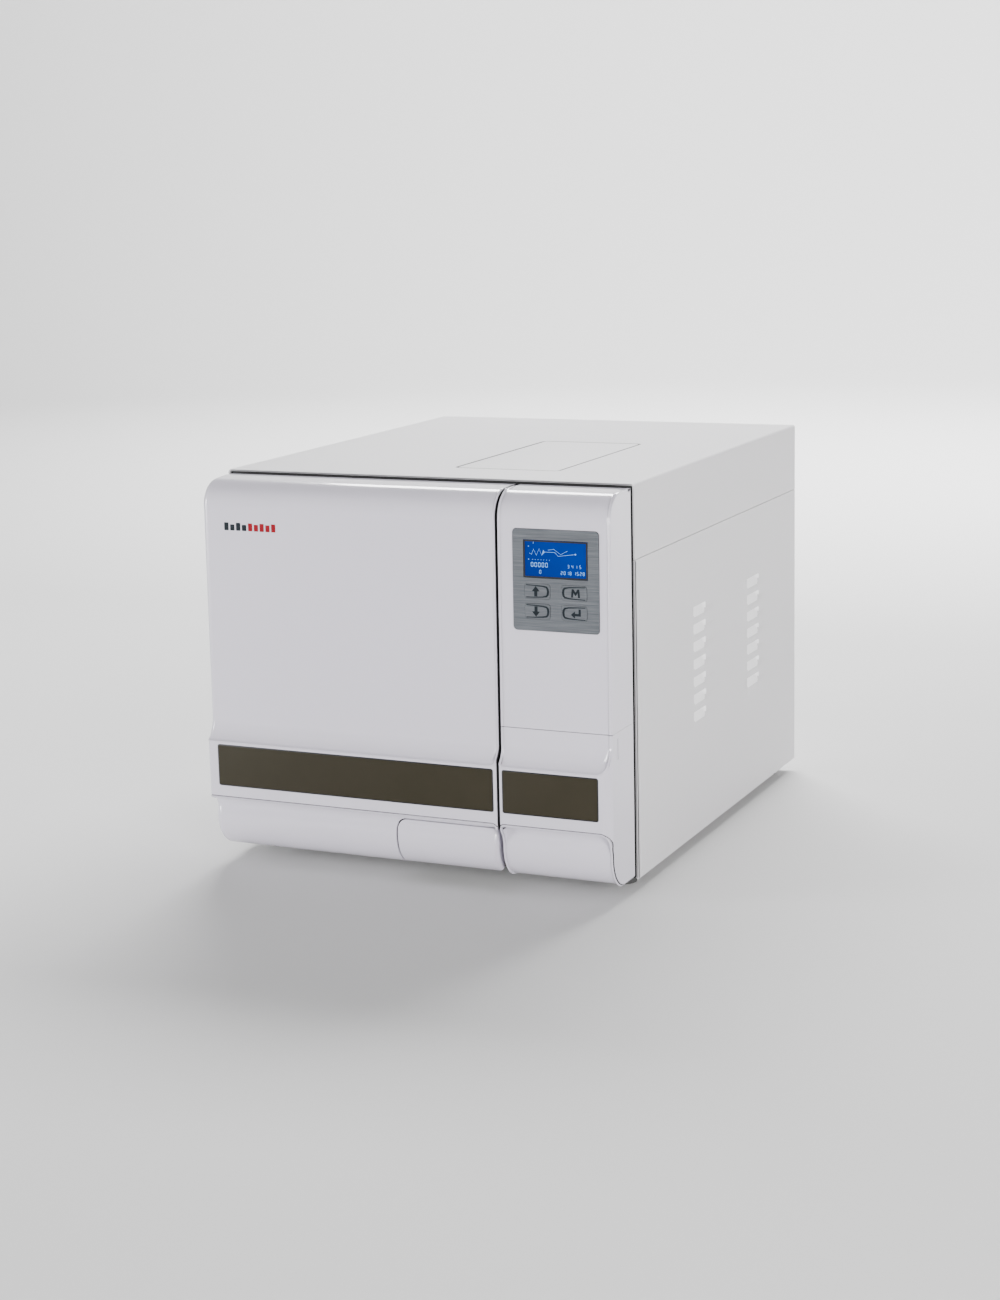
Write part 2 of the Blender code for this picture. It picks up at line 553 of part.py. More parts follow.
def make_rear():
    frame = box("fan_frame", (FAN_X - 0.046, 0.478, FAN_Z - 0.046), (FAN_X + 0.046, 0.504, FAN_Z + 0.046), dark_plastic)
    cut(frame, cylinder("fan_duct", 0.043, (FAN_X, 0.47, FAN_Z), (FAN_X, 0.51, FAN_Z), None, sides=32))
    spindle = pivot("fan_spindle", (FAN_X, 0.491, FAN_Z))
    blades, hub, tip, half_width = 7, 0.017, 0.040, 7
    outline = []
    for n in range(blades):
        start = 360 / blades * n
        outline += arc((FAN_X, FAN_Z), tip, start - half_width, start + half_width, 2)
        outline += arc((FAN_X, FAN_Z), hub, start + 2.5 * half_width, start + 360 / blades - 2.5 * half_width, 2)
    plate("fan_rotor", [outline], 0.483, 0.499, "Y", dark_plastic, spindle)
    low, high = (INLET_X - 0.0147, 0.492, INLET_Z - 0.0122), (INLET_X + 0.0147, 0.512, INLET_Z + 0.0122)
    inlet = box("mains_inlet", low, high, dark_plastic)
    cut(inlet, block("inlet_socket", (low[0] + 0.003, 0.497, low[2] + 0.003), (high[0] - 0.003, 0.52, high[2] - 0.003)))
    block_low, block_high = (-0.170, DEPTH - 0.0017, 0.030), (-0.090, DEPTH + 0.004, 0.062)
    ports = box("hose_outlets", block_low, block_high, bare_steel)
    for n, x in enumerate((-0.150, -0.110)):
        start, end = (x, DEPTH, 0.046), (x, DEPTH + REAR_REACH, 0.046)
        join(ports, cylinder(f"outlet_{n}", 0.007, start, end, None))


clear_scene()
pieces = collection(PIECES)
cutters = collection(CUTTERS)
frame_y = FRONT_REACH - (FRONT_REACH + DEPTH + REAR_REACH) / 2
cabinet_frame = empty("cabinet_frame", (0, frame_y, FOOT_HEIGHT))

white_metal = material("white_powder_coat", (0.80, 0.79, 0.80), 0.5)
white_plastic = material("white_gloss_plastic", (0.78, 0.77, 0.80), 0.2)
smoked_plastic = material("smoked_strip", (0.05, 0.045, 0.035), 0.15)
black_rubber = material("black_rubber", (0.02, 0.02, 0.02), 0.8)
bare_steel = material("bare_steel", (0.55, 0.56, 0.58), 0.4, 1.0)
polished_steel = material("polished_steel", (0.7, 0.7, 0.7), 0.2, 1.0)
brushed_plate = material("brushed_plate", (0.30, 0.31, 0.33), 0.35, 0.9)
blue_glass = material("blue_display", (0.01, 0.08, 0.45), 0.1)
circuit_green = material("circuit_board", (0.02, 0.18, 0.08), 0.5)
grey_fabric = material("insulation_fibre", (0.6, 0.6, 0.57), 0.9)
silicone = material("white_silicone", (0.75, 0.74, 0.70), 0.6)
dark_plastic = material("dark_plastic", (0.04, 0.04, 0.045), 0.5)
natural_plastic = material("natural_plastic", (0.75, 0.76, 0.74), 0.4)
red_plastic = material("red_plastic", (0.5, 0.02, 0.02), 0.35)
blue_plastic = material("blue_plastic", (0.02, 0.12, 0.45), 0.35)

make_base()
make_sides()
make_top_cover()
make_bulkhead()
make_chamber()
make_trays()
make_door()
make_handle()
make_lock()
make_control_panel()
make_flap()
make_service_bay()
make_water_side()
make_rear()
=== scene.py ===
from math import atan, cos, pi, radians, sin

import bmesh
import bpy
import numpy as np
from mathutils import Matrix, Vector


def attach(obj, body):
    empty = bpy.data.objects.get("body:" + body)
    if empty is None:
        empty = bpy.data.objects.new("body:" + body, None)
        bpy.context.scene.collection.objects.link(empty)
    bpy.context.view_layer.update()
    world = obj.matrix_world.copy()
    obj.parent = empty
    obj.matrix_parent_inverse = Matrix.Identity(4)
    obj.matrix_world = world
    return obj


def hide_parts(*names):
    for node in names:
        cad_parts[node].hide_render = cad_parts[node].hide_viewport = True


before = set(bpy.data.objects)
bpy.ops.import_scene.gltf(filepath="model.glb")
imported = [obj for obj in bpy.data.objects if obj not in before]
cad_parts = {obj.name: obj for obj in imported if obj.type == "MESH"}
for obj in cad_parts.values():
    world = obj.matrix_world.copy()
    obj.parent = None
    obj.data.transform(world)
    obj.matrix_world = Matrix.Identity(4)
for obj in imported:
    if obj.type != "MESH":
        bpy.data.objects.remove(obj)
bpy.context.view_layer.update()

mm = 0.001
cabinet = {
    "front": -0.225,  # y of the cabinet's front plane
    "floor": 0.013,  # z of its lower edge, above the feet
    "half": 0.2225,
    "depth": 0.508,
    "height": 0.391,
    "sideSeam": 0.3175,
    "sheet": 0.0015,
}


def inFrame(point):
    # (x, y, z) counted from the cabinet's front plane and lower edge
    return Vector((point[0], point[1] + cabinet["front"], point[2] + cabinet["floor"]))


# camera, floor and lights
camera = {
    "at": (1.033, -2.310, 0.709),
    "yaw": 24.59,
    "pitch": 11.71,
    "roll": -1.36,
    "lens": 65.65,
}


def makeCamera():
    yaw, pitch, roll = (radians(camera[k]) for k in ("yaw", "pitch", "roll"))
    back = Vector((sin(yaw) * cos(pitch), -cos(yaw) * cos(pitch), sin(pitch)))
    right = (-back).cross(Vector((0, 0, 1))).normalized()
    up = right.cross(-back)
    turnedRight = cos(roll) * right + sin(roll) * up
    turnedUp = -sin(roll) * right + cos(roll) * up
    data = bpy.data.cameras.new("studioCamera")
    data.lens = camera["lens"]
    data.sensor_width = 36
    data.clip_start, data.clip_end = 0.05, 60
    made = bpy.data.objects.new("studioCamera", data)
    matrix = Matrix((turnedRight, turnedUp, back)).transposed().to_4x4()
    matrix.translation = Vector(camera["at"])
    made.matrix_world = matrix
    bpy.context.scene.collection.objects.link(made)
    bpy.context.scene.camera = made


studio = {
    "floorColour": (0.70, 0.70, 0.70),
    "worldColour": (0.97, 0.98, 1.0),
    "worldStrength": 0.07,
    "lights": [  # name, place, aim, width, height, watts, colour
        ("keySoftbox", (2.2, -2.4, 0.60), (0, -0.1, 0.22), 1.0, 1.0, 116, (1.0, 0.99, 0.98)),
        ("fillSoftbox", (-2.7, -2.1, 0.60), (0, -0.1, 0.22), 1.0, 1.2, 110, (0.98, 0.99, 1.0)),
        ("rearSoftbox", (-0.3, 2.0, 2.3), (0, 0, 0.3), 2.6, 0.9, 205, (1, 1, 1)),
        ("backdropLight", (0.0, 2.8, 2.6), (0, 5.4, 0.8), 4.5, 1.0, 560, (1, 1, 1)),
    ],
}


def makeStudio():
    # a round floor that turns up into a wall, so that it fills every view
    radius, curve, rise, steps = 7.0, 2.0, 5.0, 64
    bend = np.linspace(0, pi / 2, 12)
    path = [(0.01, 0), *[(radius - curve + curve * sin(a), curve - curve * cos(a)) for a in bend]]
    path.append((radius, curve + rise))
    turns = np.linspace(0, 2 * pi, steps, endpoint=False)
    verts = [(r * cos(a), r * sin(a), z) for a in turns for r, z in path]
    count = len(path)
    faces = [
        (n * count + k, (n + 1) % steps * count + k, (n + 1) % steps * count + k + 1, n * count + k + 1)
        for n in range(steps) for k in range(count - 1)
    ]
    faces.append([n * count for n in range(steps)][::-1])
    plane = bpy.data.meshes.new("studioFloor")
    plane.from_pydata(verts, [], faces)
    floor = bpy.data.objects.new("studioFloor", plane)
    bpy.context.scene.collection.objects.link(floor)
    for face in plane.polygons:
        face.use_smooth = True
    paper = bpy.data.materials.new("studioPaper")
    paper.use_nodes = True
    shader = paper.node_tree.nodes["Principled BSDF"]
    shader.inputs["Base Color"].default_value = (*studio["floorColour"], 1)
    shader.inputs["Roughness"].default_value = 0.9
    plane.materials.append(paper)

    world = bpy.data.worlds.new("studioWorld")
    world.use_nodes = True
    background = world.node_tree.nodes["Background"]
    background.inputs["Color"].default_value = (*studio["worldColour"], 1)
    background.inputs["Strength"].default_value = studio["worldStrength"]
    bpy.context.scene.world = world
    for name, at, aim, width, height, watts, colour in studio["lights"]:
        data = bpy.data.lights.new(name, "AREA")
        data.shape, data.size, data.size_y = "RECTANGLE", width, height
        data.energy, data.color = watts, colour
        lamp = bpy.data.objects.new(name, data)
        lamp.location = at
        lamp.rotation_euler = (Vector(aim) - Vector(at)).to_track_quat("-Z", "Y").to_euler()
        bpy.context.scene.collection.objects.link(lamp)


makeCamera()
makeStudio()
print("camera, floor and lights made")


# shader effects that several finishes share
def groupWith(name, inputs, outputs):
    tree = bpy.data.node_groups.new(name, "ShaderNodeTree")
    for socket, kind, value in inputs:
        made = tree.interface.new_socket(socket, in_out="INPUT", socket_type=kind)
        if value is not None:
            made.default_value = value
    for socket, kind in outputs:
        tree.interface.new_socket(socket, in_out="OUTPUT", socket_type=kind)
    return tree, tree.nodes.new("NodeGroupInput"), tree.nodes.new("NodeGroupOutput")


def mathNode(tree, operation, first, second=None):
    node = tree.nodes.new("ShaderNodeMath")
    node.operation = operation
    for socket, value in zip(node.inputs, (first, second)):
        if isinstance(value, (int, float)):
            socket.default_value = value
        elif value is not None:
            tree.links.new(value, socket)
    return node.outputs[0]


def objectPoint(tree, scale=(1, 1, 1)):
    # the place on the object, stretched along its axes
    place = tree.nodes.new("ShaderNodeTexCoord")
    stretch = tree.nodes.new("ShaderNodeMapping")
    stretch.inputs["Scale"].default_value = scale
    tree.links.new(place.outputs["Object"], stretch.inputs["Vector"])
    return stretch.outputs["Vector"]


def noiseAt(tree, vector, scale, detail=2.0, roughness=0.5):
    noise = tree.nodes.new("ShaderNodeTexNoise")
    noise.inputs["Detail"].default_value = detail
    noise.inputs["Roughness"].default_value = roughness
    tree.links.new(vector, noise.inputs["Vector"])
    if isinstance(scale, (int, float)):
        noise.inputs["Scale"].default_value = scale
    else:
        tree.links.new(scale, noise.inputs["Scale"])
    return noise.outputs["Fac"]


def spread(tree, value, low, high, outLow=0.0, outHigh=1.0):
    node = tree.nodes.new("ShaderNodeMapRange")
    for name, number in (("From Min", low), ("From Max", high), ("To Min", outLow), ("To Max", outHigh)):
        if isinstance(number, (int, float)):
            node.inputs[name].default_value = number
        else:
            tree.links.new(number, node.inputs[name])
    tree.links.new(value, node.inputs["Value"])
    return node.outputs["Result"]


def makeHandling():
    # faint smears and dust: a tone that shifts the colour and a roughness that shifts the gloss
    tree, given, result = groupWith(
        "handling",
        [
            ("Color", "NodeSocketColor", (0.8, 0.8, 0.8, 1)),
            ("Tone", "NodeSocketFloat", 0.03),
            ("Gloss", "NodeSocketFloat", 0.3),
            ("Smear", "NodeSocketFloat", 0.06),
        ],
        [("Color", "NodeSocketColor"), ("Roughness", "NodeSocketFloat")],
    )
    point = objectPoint(tree)
    wide = noiseAt(tree, point, 7.0, 3.0)
    fine = noiseAt(tree, point, 60.0, 4.0, 0.6)
    wideShare, fineShare = mathNode(tree, "MULTIPLY", wide, 0.65), mathNode(tree, "MULTIPLY", fine, 0.35)
    both = mathNode(tree, "ADD", wideShare, fineShare)
    centred = mathNode(tree, "SUBTRACT", both, 0.5)
    value = mathNode(tree, "ADD", 1.0, mathNode(tree, "MULTIPLY", centred, given.outputs["Tone"]))
    hue = tree.nodes.new("ShaderNodeHueSaturation")
    tree.links.new(value, hue.inputs["Value"])
    tree.links.new(given.outputs["Color"], hue.inputs["Color"])
    tree.links.new(hue.outputs["Color"], result.inputs["Color"])
    smear = mathNode(tree, "MULTIPLY", centred, given.outputs["Smear"])
    rough = mathNode(tree, "ADD", given.outputs["Gloss"], smear)
    tree.links.new(rough, result.inputs["Roughness"])
    return tree


def makeGrain():
    # fine bumps of a coat or a moulded skin, as a height
    tree, given, result = groupWith(
        "skinGrain",
        [("Scale", "NodeSocketFloat", 900.0), ("Wave", "NodeSocketFloat", 0.3)],
        [("Height", "NodeSocketFloat")],
    )
    point = objectPoint(tree)
    fine = noiseAt(tree, point, given.outputs["Scale"], 3.0, 0.6)
    long = noiseAt(tree, point, 38.0, 1.0)
    height = mathNode(tree, "ADD", fine, mathNode(tree, "MULTIPLY", long, given.outputs["Wave"]))
    tree.links.new(height, result.inputs["Height"])
    return tree


def makeBrushing():
    # long scratches along x: a mask for tone and roughness, and a height
    tree, given, result = groupWith(
        "brushing",
        [("Stretch", "NodeSocketVector", (8, 1400, 1400)), ("Contrast", "NodeSocketFloat", 0.5)],
        [("Mask", "NodeSocketFloat"), ("Height", "NodeSocketFloat")],
    )
    place = tree.nodes.new("ShaderNodeTexCoord")
    stretch = tree.nodes.new("ShaderNodeVectorMath")
    stretch.operation = "MULTIPLY"
    tree.links.new(place.outputs["Object"], stretch.inputs[0])
    tree.links.new(given.outputs["Stretch"], stretch.inputs[1])
    lines = noiseAt(tree, stretch.outputs["Vector"], 1.0, 4.0, 0.65)
    centred = mathNode(tree, "SUBTRACT", lines, 0.5)
    scaled = mathNode(tree, "MULTIPLY", centred, given.outputs["Contrast"])
    tree.links.new(mathNode(tree, "ADD", scaled, 0.5), result.inputs["Mask"])
    tree.links.new(lines, result.inputs["Height"])
    return tree


def makeEdgeWear():
    # a mask that is 1 along sharp outer edges
    tree, given, result = groupWith(
        "edgeWear",
        [("Low", "NodeSocketFloat", 0.52), ("High", "NodeSocketFloat", 0.60)],
        [("Mask", "NodeSocketFloat")],
    )
    shape = tree.nodes.new("ShaderNodeNewGeometry")
    mask = spread(tree, shape.outputs["Pointiness"], given.outputs["Low"], given.outputs["High"])
    tree.links.new(mask, result.inputs["Mask"])
    return tree


handlingGroup, grainGroup = makeHandling(), makeGrain()
brushingGroup, wearGroup = makeBrushing(), makeEdgeWear()


def place(tree, group, **values):
    node = tree.nodes.new("ShaderNodeGroup")
    node.node_tree = group
    for name, value in values.items():
        node.inputs[name].default_value = value
    return node


def blankFinish(name):
    made = bpy.data.materials.new(name)
    made.use_nodes = True
    return made, made.node_tree, made.node_tree.nodes["Principled BSDF"]


def bumpFrom(tree, shader, height, strength, distance):
    bump = tree.nodes.new("ShaderNodeBump")
    bump.inputs["Strength"].default_value = strength
    bump.inputs["Distance"].default_value = distance
    tree.links.new(height, bump.inputs["Height"])
    tree.links.new(bump.outputs["Normal"], shader.inputs["Normal"])


def mixColour(tree, mask, first, second):
    mix = tree.nodes.new("ShaderNodeMix")
    mix.data_type = "RGBA"
    tree.links.new(mask, mix.inputs[0])
    for socket, value in ((mix.inputs[6], first), (mix.inputs[7], second)):
        if isinstance(value, tuple):
            socket.default_value = (*value, 1)
        else:
            tree.links.new(value, socket)
    return mix.outputs[2]


def skinned(name, values):
    # a painted or moulded surface: even colour, faint smears, grain, and lighter edges where wanted
    made, tree, shader = blankFinish(name)
    skin = place(
        tree,
        handlingGroup,
        Color=(*values["colour"], 1),
        Tone=values.get("tone", 0.03),
        Gloss=values["gloss"],
        Smear=values.get("smear", 0.06),
    )
    colour = skin.outputs["Color"]
    if "edge" in values:
        wear = place(tree, wearGroup, Low=0.52, High=0.62)
        colour = mixColour(tree, wear.outputs["Mask"], colour, values["edge"])
    tree.links.new(colour, shader.inputs["Base Color"])
    tree.links.new(skin.outputs["Roughness"], shader.inputs["Roughness"])
    grain = place(tree, grainGroup, Scale=values.get("scale", 900.0), Wave=values.get("wave", 0.3))
    bumpFrom(tree, shader, grain.outputs["Height"], values.get("bump", 0.15), values.get("relief", 0.05 * mm))
    for socket in ("Coat Weight", "Coat Roughness", "Transmission Weight", "Subsurface Weight", "Metallic",
                   "Specular IOR Level"):
        if socket in values:
            shader.inputs[socket].default_value = values[socket]
    if "Subsurface Weight" in values:
        shader.inputs["Subsurface Radius"].default_value = (2 * mm, 2 * mm, 2 * mm)
    return made


def brushed(name, values):
    # bare metal with a direction of grain
    made, tree, shader = blankFinish(name)
    lines = place(tree, brushingGroup, Stretch=values["stretch"], Contrast=values["contrast"])
    colour = mixColour(tree, lines.outputs["Mask"], values["dark"], values["light"])
    tree.links.new(colour, shader.inputs["Base Color"])
    rough = spread(tree, lines.outputs["Mask"], 0.3, 0.7, values["gloss"] - 0.08, values["gloss"] + 0.08)
    tree.links.new(rough, shader.inputs["Roughness"])
    shader.inputs["Metallic"].default_value = values.get("metallic", 1.0)
    bumpFrom(tree, shader, lines.outputs["Height"], values.get("bump", 0.2), 0.02 * mm)
    return made


finishes = {
    "powderCoat": skinned("powderCoat", {
        "colour": (0.60, 0.59, 0.61), "gloss": 0.42, "tone": 0.02, "scale": 1300.0, "bump": 0.18,
        "relief": 0.04 * mm,
    }),
    # painted light: a much lighter coat for the louvre scoops, standing in for the light they catch
    "louvrePaintedLight": skinned("louvrePaintedLight", {"colour": (0.90, 0.89, 0.91), "gloss": 0.35, "tone": 0.02}),
    "glossWhite": skinned("glossWhite", {
        "colour": (0.590, 0.565, 0.640), "gloss": 0.20, "tone": 0.015, "smear": 0.04, "scale": 700.0,
        "bump": 0.05, "wave": 0.8, "relief": 0.03 * mm, "Coat Weight": 0.6, "Coat Roughness": 0.05,
    }),
    "smokedStrip": skinned("smokedStrip", {
        "colour": (0.031, 0.027, 0.018), "gloss": 0.30, "tone": 0.25, "scale": 500.0, "bump": 0.03,
        "Specular IOR Level": 0.10,
    }),
    "blackBorder": skinned("blackBorder", {"colour": (0.006, 0.006, 0.007), "gloss": 0.35, "tone": 0.2}),
    "blackRubber": skinned("blackRubber", {
        "colour": (0.018, 0.018, 0.019), "gloss": 0.75, "tone": 0.5, "scale": 1500.0, "bump": 0.4,
        "relief": 0.08 * mm, "edge": (0.05, 0.05, 0.05),
    }),
    "shadowBlack": skinned("shadowBlack", {"colour": (0.010, 0.010, 0.011), "gloss": 0.8, "tone": 0.3}),
    "steel": brushed("steel", {
        "dark": (0.36, 0.37, 0.38), "light": (0.62, 0.63, 0.64), "gloss": 0.36, "contrast": 1.2,
        "stretch": (25, 600, 600),
    }),
    "stainless": brushed("stainless", {
        "dark": (0.56, 0.56, 0.56), "light": (0.70, 0.70, 0.69), "gloss": 0.24, "contrast": 0.5,
        "stretch": (12, 900, 900),
    }),
    "controlMetal": brushed("controlMetal", {
        "dark": (0.055, 0.062, 0.072), "light": (0.185, 0.197, 0.215), "gloss": 0.42, "contrast": 1.8,
        "stretch": (26, 1500, 1500), "metallic": 0.55,
    }),
    "boardGreen": skinned("boardGreen", {"colour": (0.012, 0.12, 0.05), "gloss": 0.35, "tone": 0.4}),
    "glassFibre": skinned("glassFibre", {
        "colour": (0.56, 0.55, 0.50), "gloss": 0.9, "tone": 0.6, "scale": 420.0, "bump": 0.9,
        "relief": 0.6 * mm,
    }),
    "silicone": skinned("silicone", {
        "colour": (0.70, 0.69, 0.65), "gloss": 0.5, "Subsurface Weight": 0.15, "edge": (0.8, 0.79, 0.76),
    }),
    "darkPlastic": skinned("darkPlastic", {
        "colour": (0.030, 0.031, 0.034), "gloss": 0.45, "tone": 0.3, "scale": 1100.0, "bump": 0.35,
        "edge": (0.07, 0.07, 0.075),
    }),
    "milkyPlastic": skinned("milkyPlastic", {
        "colour": (0.72, 0.74, 0.72), "gloss": 0.38, "tone": 0.06, "Subsurface Weight": 0.3, "scale": 500.0,
    }),
    "redPlastic": skinned("redPlastic", {"colour": (0.42, 0.012, 0.012), "gloss": 0.28, "tone": 0.15}),
    "bluePlastic": skinned("bluePlastic", {"colour": (0.012, 0.09, 0.36), "gloss": 0.32, "tone": 0.15}),
    "inkDark": skinned("inkDark", {
        "colour": (0.008, 0.012, 0.016), "gloss": 0.5, "tone": 0.2, "Specular IOR Level": 0.12,
    }),
    "inkRed": skinned("inkRed", {
        "colour": (0.22, 0.003, 0.010), "gloss": 0.5, "tone": 0.2, "Specular IOR Level": 0.12,
    }),
    # painted shade: white plastic coloured dark grey, as it looks in shade, for the finger recess
    "recessGrey": skinned("recessGrey", {"colour": (0.15, 0.14, 0.14), "gloss": 0.5, "tone": 0.1}),
}


def makeDisplay():
    # lit blue glass, a little brighter in places
    made, tree, shader = blankFinish("displayBlue")
    point = objectPoint(tree)
    glow = spread(tree, noiseAt(tree, point, 18.0, 1.0), 0.3, 0.7)
    colour = mixColour(tree, glow, (0.001, 0.014, 0.14), (0.001, 0.023, 0.20))
    tree.links.new(colour, shader.inputs["Base Color"])
    tree.links.new(colour, shader.inputs["Emission Color"])
    shader.inputs["Emission Strength"].default_value = 0.25
    shader.inputs["Specular IOR Level"].default_value = 0.03
    shader.inputs["Roughness"].default_value = 0.3
    return made


def makeGlow():
    made, tree, shader = blankFinish("displayPale")
    point = objectPoint(tree)
    colour = mixColour(tree, noiseAt(tree, point, 300.0, 2.0), (0.10, 0.30, 0.70), (0.22, 0.46, 0.82))
    tree.links.new(colour, shader.inputs["Base Color"])
    tree.links.new(colour, shader.inputs["Emission Color"])
    shader.inputs["Emission Strength"].default_value = 0.5
    shader.inputs["Roughness"].default_value = 0.4
    return made


finishes["displayBlue"], finishes["displayPale"] = makeDisplay(), makeGlow()
print("finishes made:", len(finishes))


# mesh makers
def piece(name, mesh, finish, body, replaced=(), angle=35.0):
    made = bpy.data.objects.new(name, mesh)
    bpy.context.scene.collection.objects.link(made)
    if not mesh.materials:
        for one in finish if isinstance(finish, (list, tuple)) else [finish]:
            mesh.materials.append(finishes[one])
    for face in mesh.polygons:
        face.use_smooth = True
    mesh.set_sharp_from_angle(angle=radians(angle))
    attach(made, body)
    if replaced:
        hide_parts(*replaced)
    return made


def settled(obj):
    # the object's mesh with its modifiers applied; the object itself goes
    bpy.context.view_layer.update()
    made = bpy.data.meshes.new_from_object(obj.evaluated_get(bpy.context.evaluated_depsgraph_get()))
    old = obj.data
    bpy.data.objects.remove(obj)
    if isinstance(old, bpy.types.Mesh):
        bpy.data.meshes.remove(old)
    else:
        bpy.data.curves.remove(old)
    return made


def holder(name, data):
    made = bpy.data.objects.new(name, data)
    bpy.context.scene.collection.objects.link(made)
    return made


facing = {  # turns a drawing so that its thickness runs along this axis
    "X": Matrix(((0, 0, 1), (1, 0, 0), (0, 1, 0))).to_4x4(),
    "Y": Matrix(((1, 0, 0), (0, 0, -1), (0, 1, 0))).to_4x4(),
    "Z": Matrix.Identity(4),
}


def slab(name, loops, low, high, axis, bevel=0.0):
    # a flat plate: closed outlines, the first its rim, from low to high along the axis, with rounded edges
    drawing = bpy.data.curves.new(name, "CURVE")
    drawing.dimensions, drawing.fill_mode = "2D", "BOTH"
    drawing.extrude = (high - low) / 2 - bevel
    drawing.bevel_depth, drawing.bevel_resolution = bevel, 2
    drawing.offset = -bevel
    for loop in loops:
        spline = drawing.splines.new("POLY")
        spline.points.add(len(loop) - 1)
        for point, (u, v) in zip(spline.points, loop):
            point.co = (u, v, 0, 1)
        spline.use_cyclic_u = True
    made = holder(name, drawing)
    middle = Vector((0, 0, 0))
    middle["XYZ".index(axis)] = (low + high) / 2
    made.matrix_world = Matrix.Translation(middle) @ facing[axis]
    matrix = made.matrix_world.copy()
    mesh = settled(made)
    mesh.transform(matrix)
    bm = bmesh.new()
    bm.from_mesh(mesh)
    bmesh.ops.remove_doubles(bm, verts=bm.verts, dist=1e-6)
    bmesh.ops.recalc_face_normals(bm, faces=bm.faces)
    bm.to_mesh(mesh)
    bm.free()
    return mesh


def arcPoints(centre, radius, start, end, steps):
    angles = np.radians(np.linspace(start, end, steps + 1))
    return [(centre[0] + radius * cos(a), centre[1] + radius * sin(a)) for a in angles]


def roundRect(low, high, corner=0.0, steps=5):
    if not corner:
        return [low, (high[0], low[1]), high, (low[0], high[1])]
    x0, x1, z0, z1 = low[0] + corner, high[0] - corner, low[1] + corner, high[1] - corner
    corners = [((x1, z0), -90), ((x1, z1), 0), ((x0, z1), 90), ((x0, z0), 180)]
    return [p for c, start in corners for p in arcPoints(c, corner, start, start + 90, steps)]


def block(name, low, high, bevel=0.0, segments=3):
    low, high = Vector(low), Vector(high)
    bm = bmesh.new()
    shape = Matrix.Translation((low + high) / 2) @ Matrix.Diagonal((*(high - low), 1))
    bmesh.ops.create_cube(bm, size=1.0, matrix=shape)
    if bevel:
        bmesh.ops.bevel(bm, geom=bm.edges[:], offset=bevel, segments=segments, profile=0.5, affect="EDGES")
    mesh = bpy.data.meshes.new(name)
    bm.to_mesh(mesh)
    bm.free()
    return mesh


def spun(name, profile, at, axis, steps=64, closed=False):
    # (radius, height) points turned about a line through `at`; height runs along the axis
    direction = {"X": Vector((1, 0, 0)), "Y": Vector((0, 1, 0)), "Z": Vector((0, 0, 1))}[axis]
    side = {"X": Vector((0, 1, 0)), "Y": Vector((0, 0, 1)), "Z": Vector((1, 0, 0))}[axis]
    other = direction.cross(side)
    verts, faces, count = [], [], len(profile)
    for n in range(steps):
        turn = 2 * pi * n / steps
        out = side * cos(turn) + other * sin(turn)
        verts += [Vector(at) + out * r + direction * h for r, h in profile]
    for n in range(steps):
        here, after = n * count, (n + 1) % steps * count
        for k in range(count if closed else count - 1):
            following = (k + 1) % count
            faces.append((here + k, after + k, after + following, here + following))
    return tidyMesh(name, verts, faces)


def tidyMesh(name, verts, faces, marks=None, turnOut=True):
    mesh = bpy.data.meshes.new(name)
    mesh.from_pydata([tuple(v) for v in verts], [], faces)
    if marks is not None:
        mesh.polygons.foreach_set("material_index", marks)
    bm = bmesh.new()
    bm.from_mesh(mesh)
    bmesh.ops.remove_doubles(bm, verts=bm.verts, dist=1e-6)
    bmesh.ops.dissolve_degenerate(bm, dist=1e-7, edges=bm.edges)
    if turnOut:
        bmesh.ops.recalc_face_normals(bm, faces=bm.faces)
    bm.to_mesh(mesh)
    bm.free()
    return mesh


def gridFaces(rows, columns):
    # the quads between points that are listed row by row
    return [
        (r * columns + c, (r + 1) * columns + c, (r + 1) * columns + c + 1, r * columns + c + 1)
        for r in range(rows - 1) for c in range(columns - 1)
    ]


def thickened(name, mesh, thickness, offset=-1, shadeSlot=0):
    # gives an open sheet its thickness; the last argument is the finish of its inside and rims, counted in
    # slots, which the callers use for a black painted shade
    shell = holder(name, mesh)
    wall = shell.modifiers.new("wall", "SOLIDIFY")
    wall.thickness, wall.offset = thickness, offset
    wall.material_offset = wall.material_offset_rim = shadeSlot
    made = settled(shell)
    made.name = name
    return made


def joined(name, meshes):
    bm = bmesh.new()
    for mesh in meshes:
        bm.from_mesh(mesh)
    made = bpy.data.meshes.new(name)
    bm.to_mesh(made)
    bm.free()
    for mesh in meshes:
        bpy.data.meshes.remove(mesh)
    return made


def shifted(mesh):
    # from the cabinet's own frame to the part's
    mesh.transform(Matrix.Translation(inFrame((0, 0, 0))))
    return mesh


def punched(mesh, outline, axes=(0, 2), wanted=None):
    # cuts a convex outline, drawn anticlockwise in the two axes given, out of a sheet
    bm = bmesh.new()
    bm.from_mesh(mesh)
    inside = [f for f in bm.faces if wanted is None or wanted(f)]
    for first, second in zip(outline, outline[1:] + outline[:1]):
        point, normal = Vector((0, 0, 0)), Vector((0, 0, 0))
        point[axes[0]], point[axes[1]] = first
        normal[axes[0]], normal[axes[1]] = second[1] - first[1], first[0] - second[0]
        geom = set(inside) | {e for f in inside for e in f.edges} | {v for f in inside for v in f.verts}
        cut = bmesh.ops.bisect_plane(bm, geom=list(geom), dist=1e-7, plane_co=point, plane_no=normal)
        inside = [
            g for g in cut["geom"]
            if isinstance(g, bmesh.types.BMFace) and (g.calc_center_median() - point).dot(normal) < 0
        ]
    bmesh.ops.delete(bm, geom=inside, context="FACES")
    bm.to_mesh(mesh)
    bm.free()


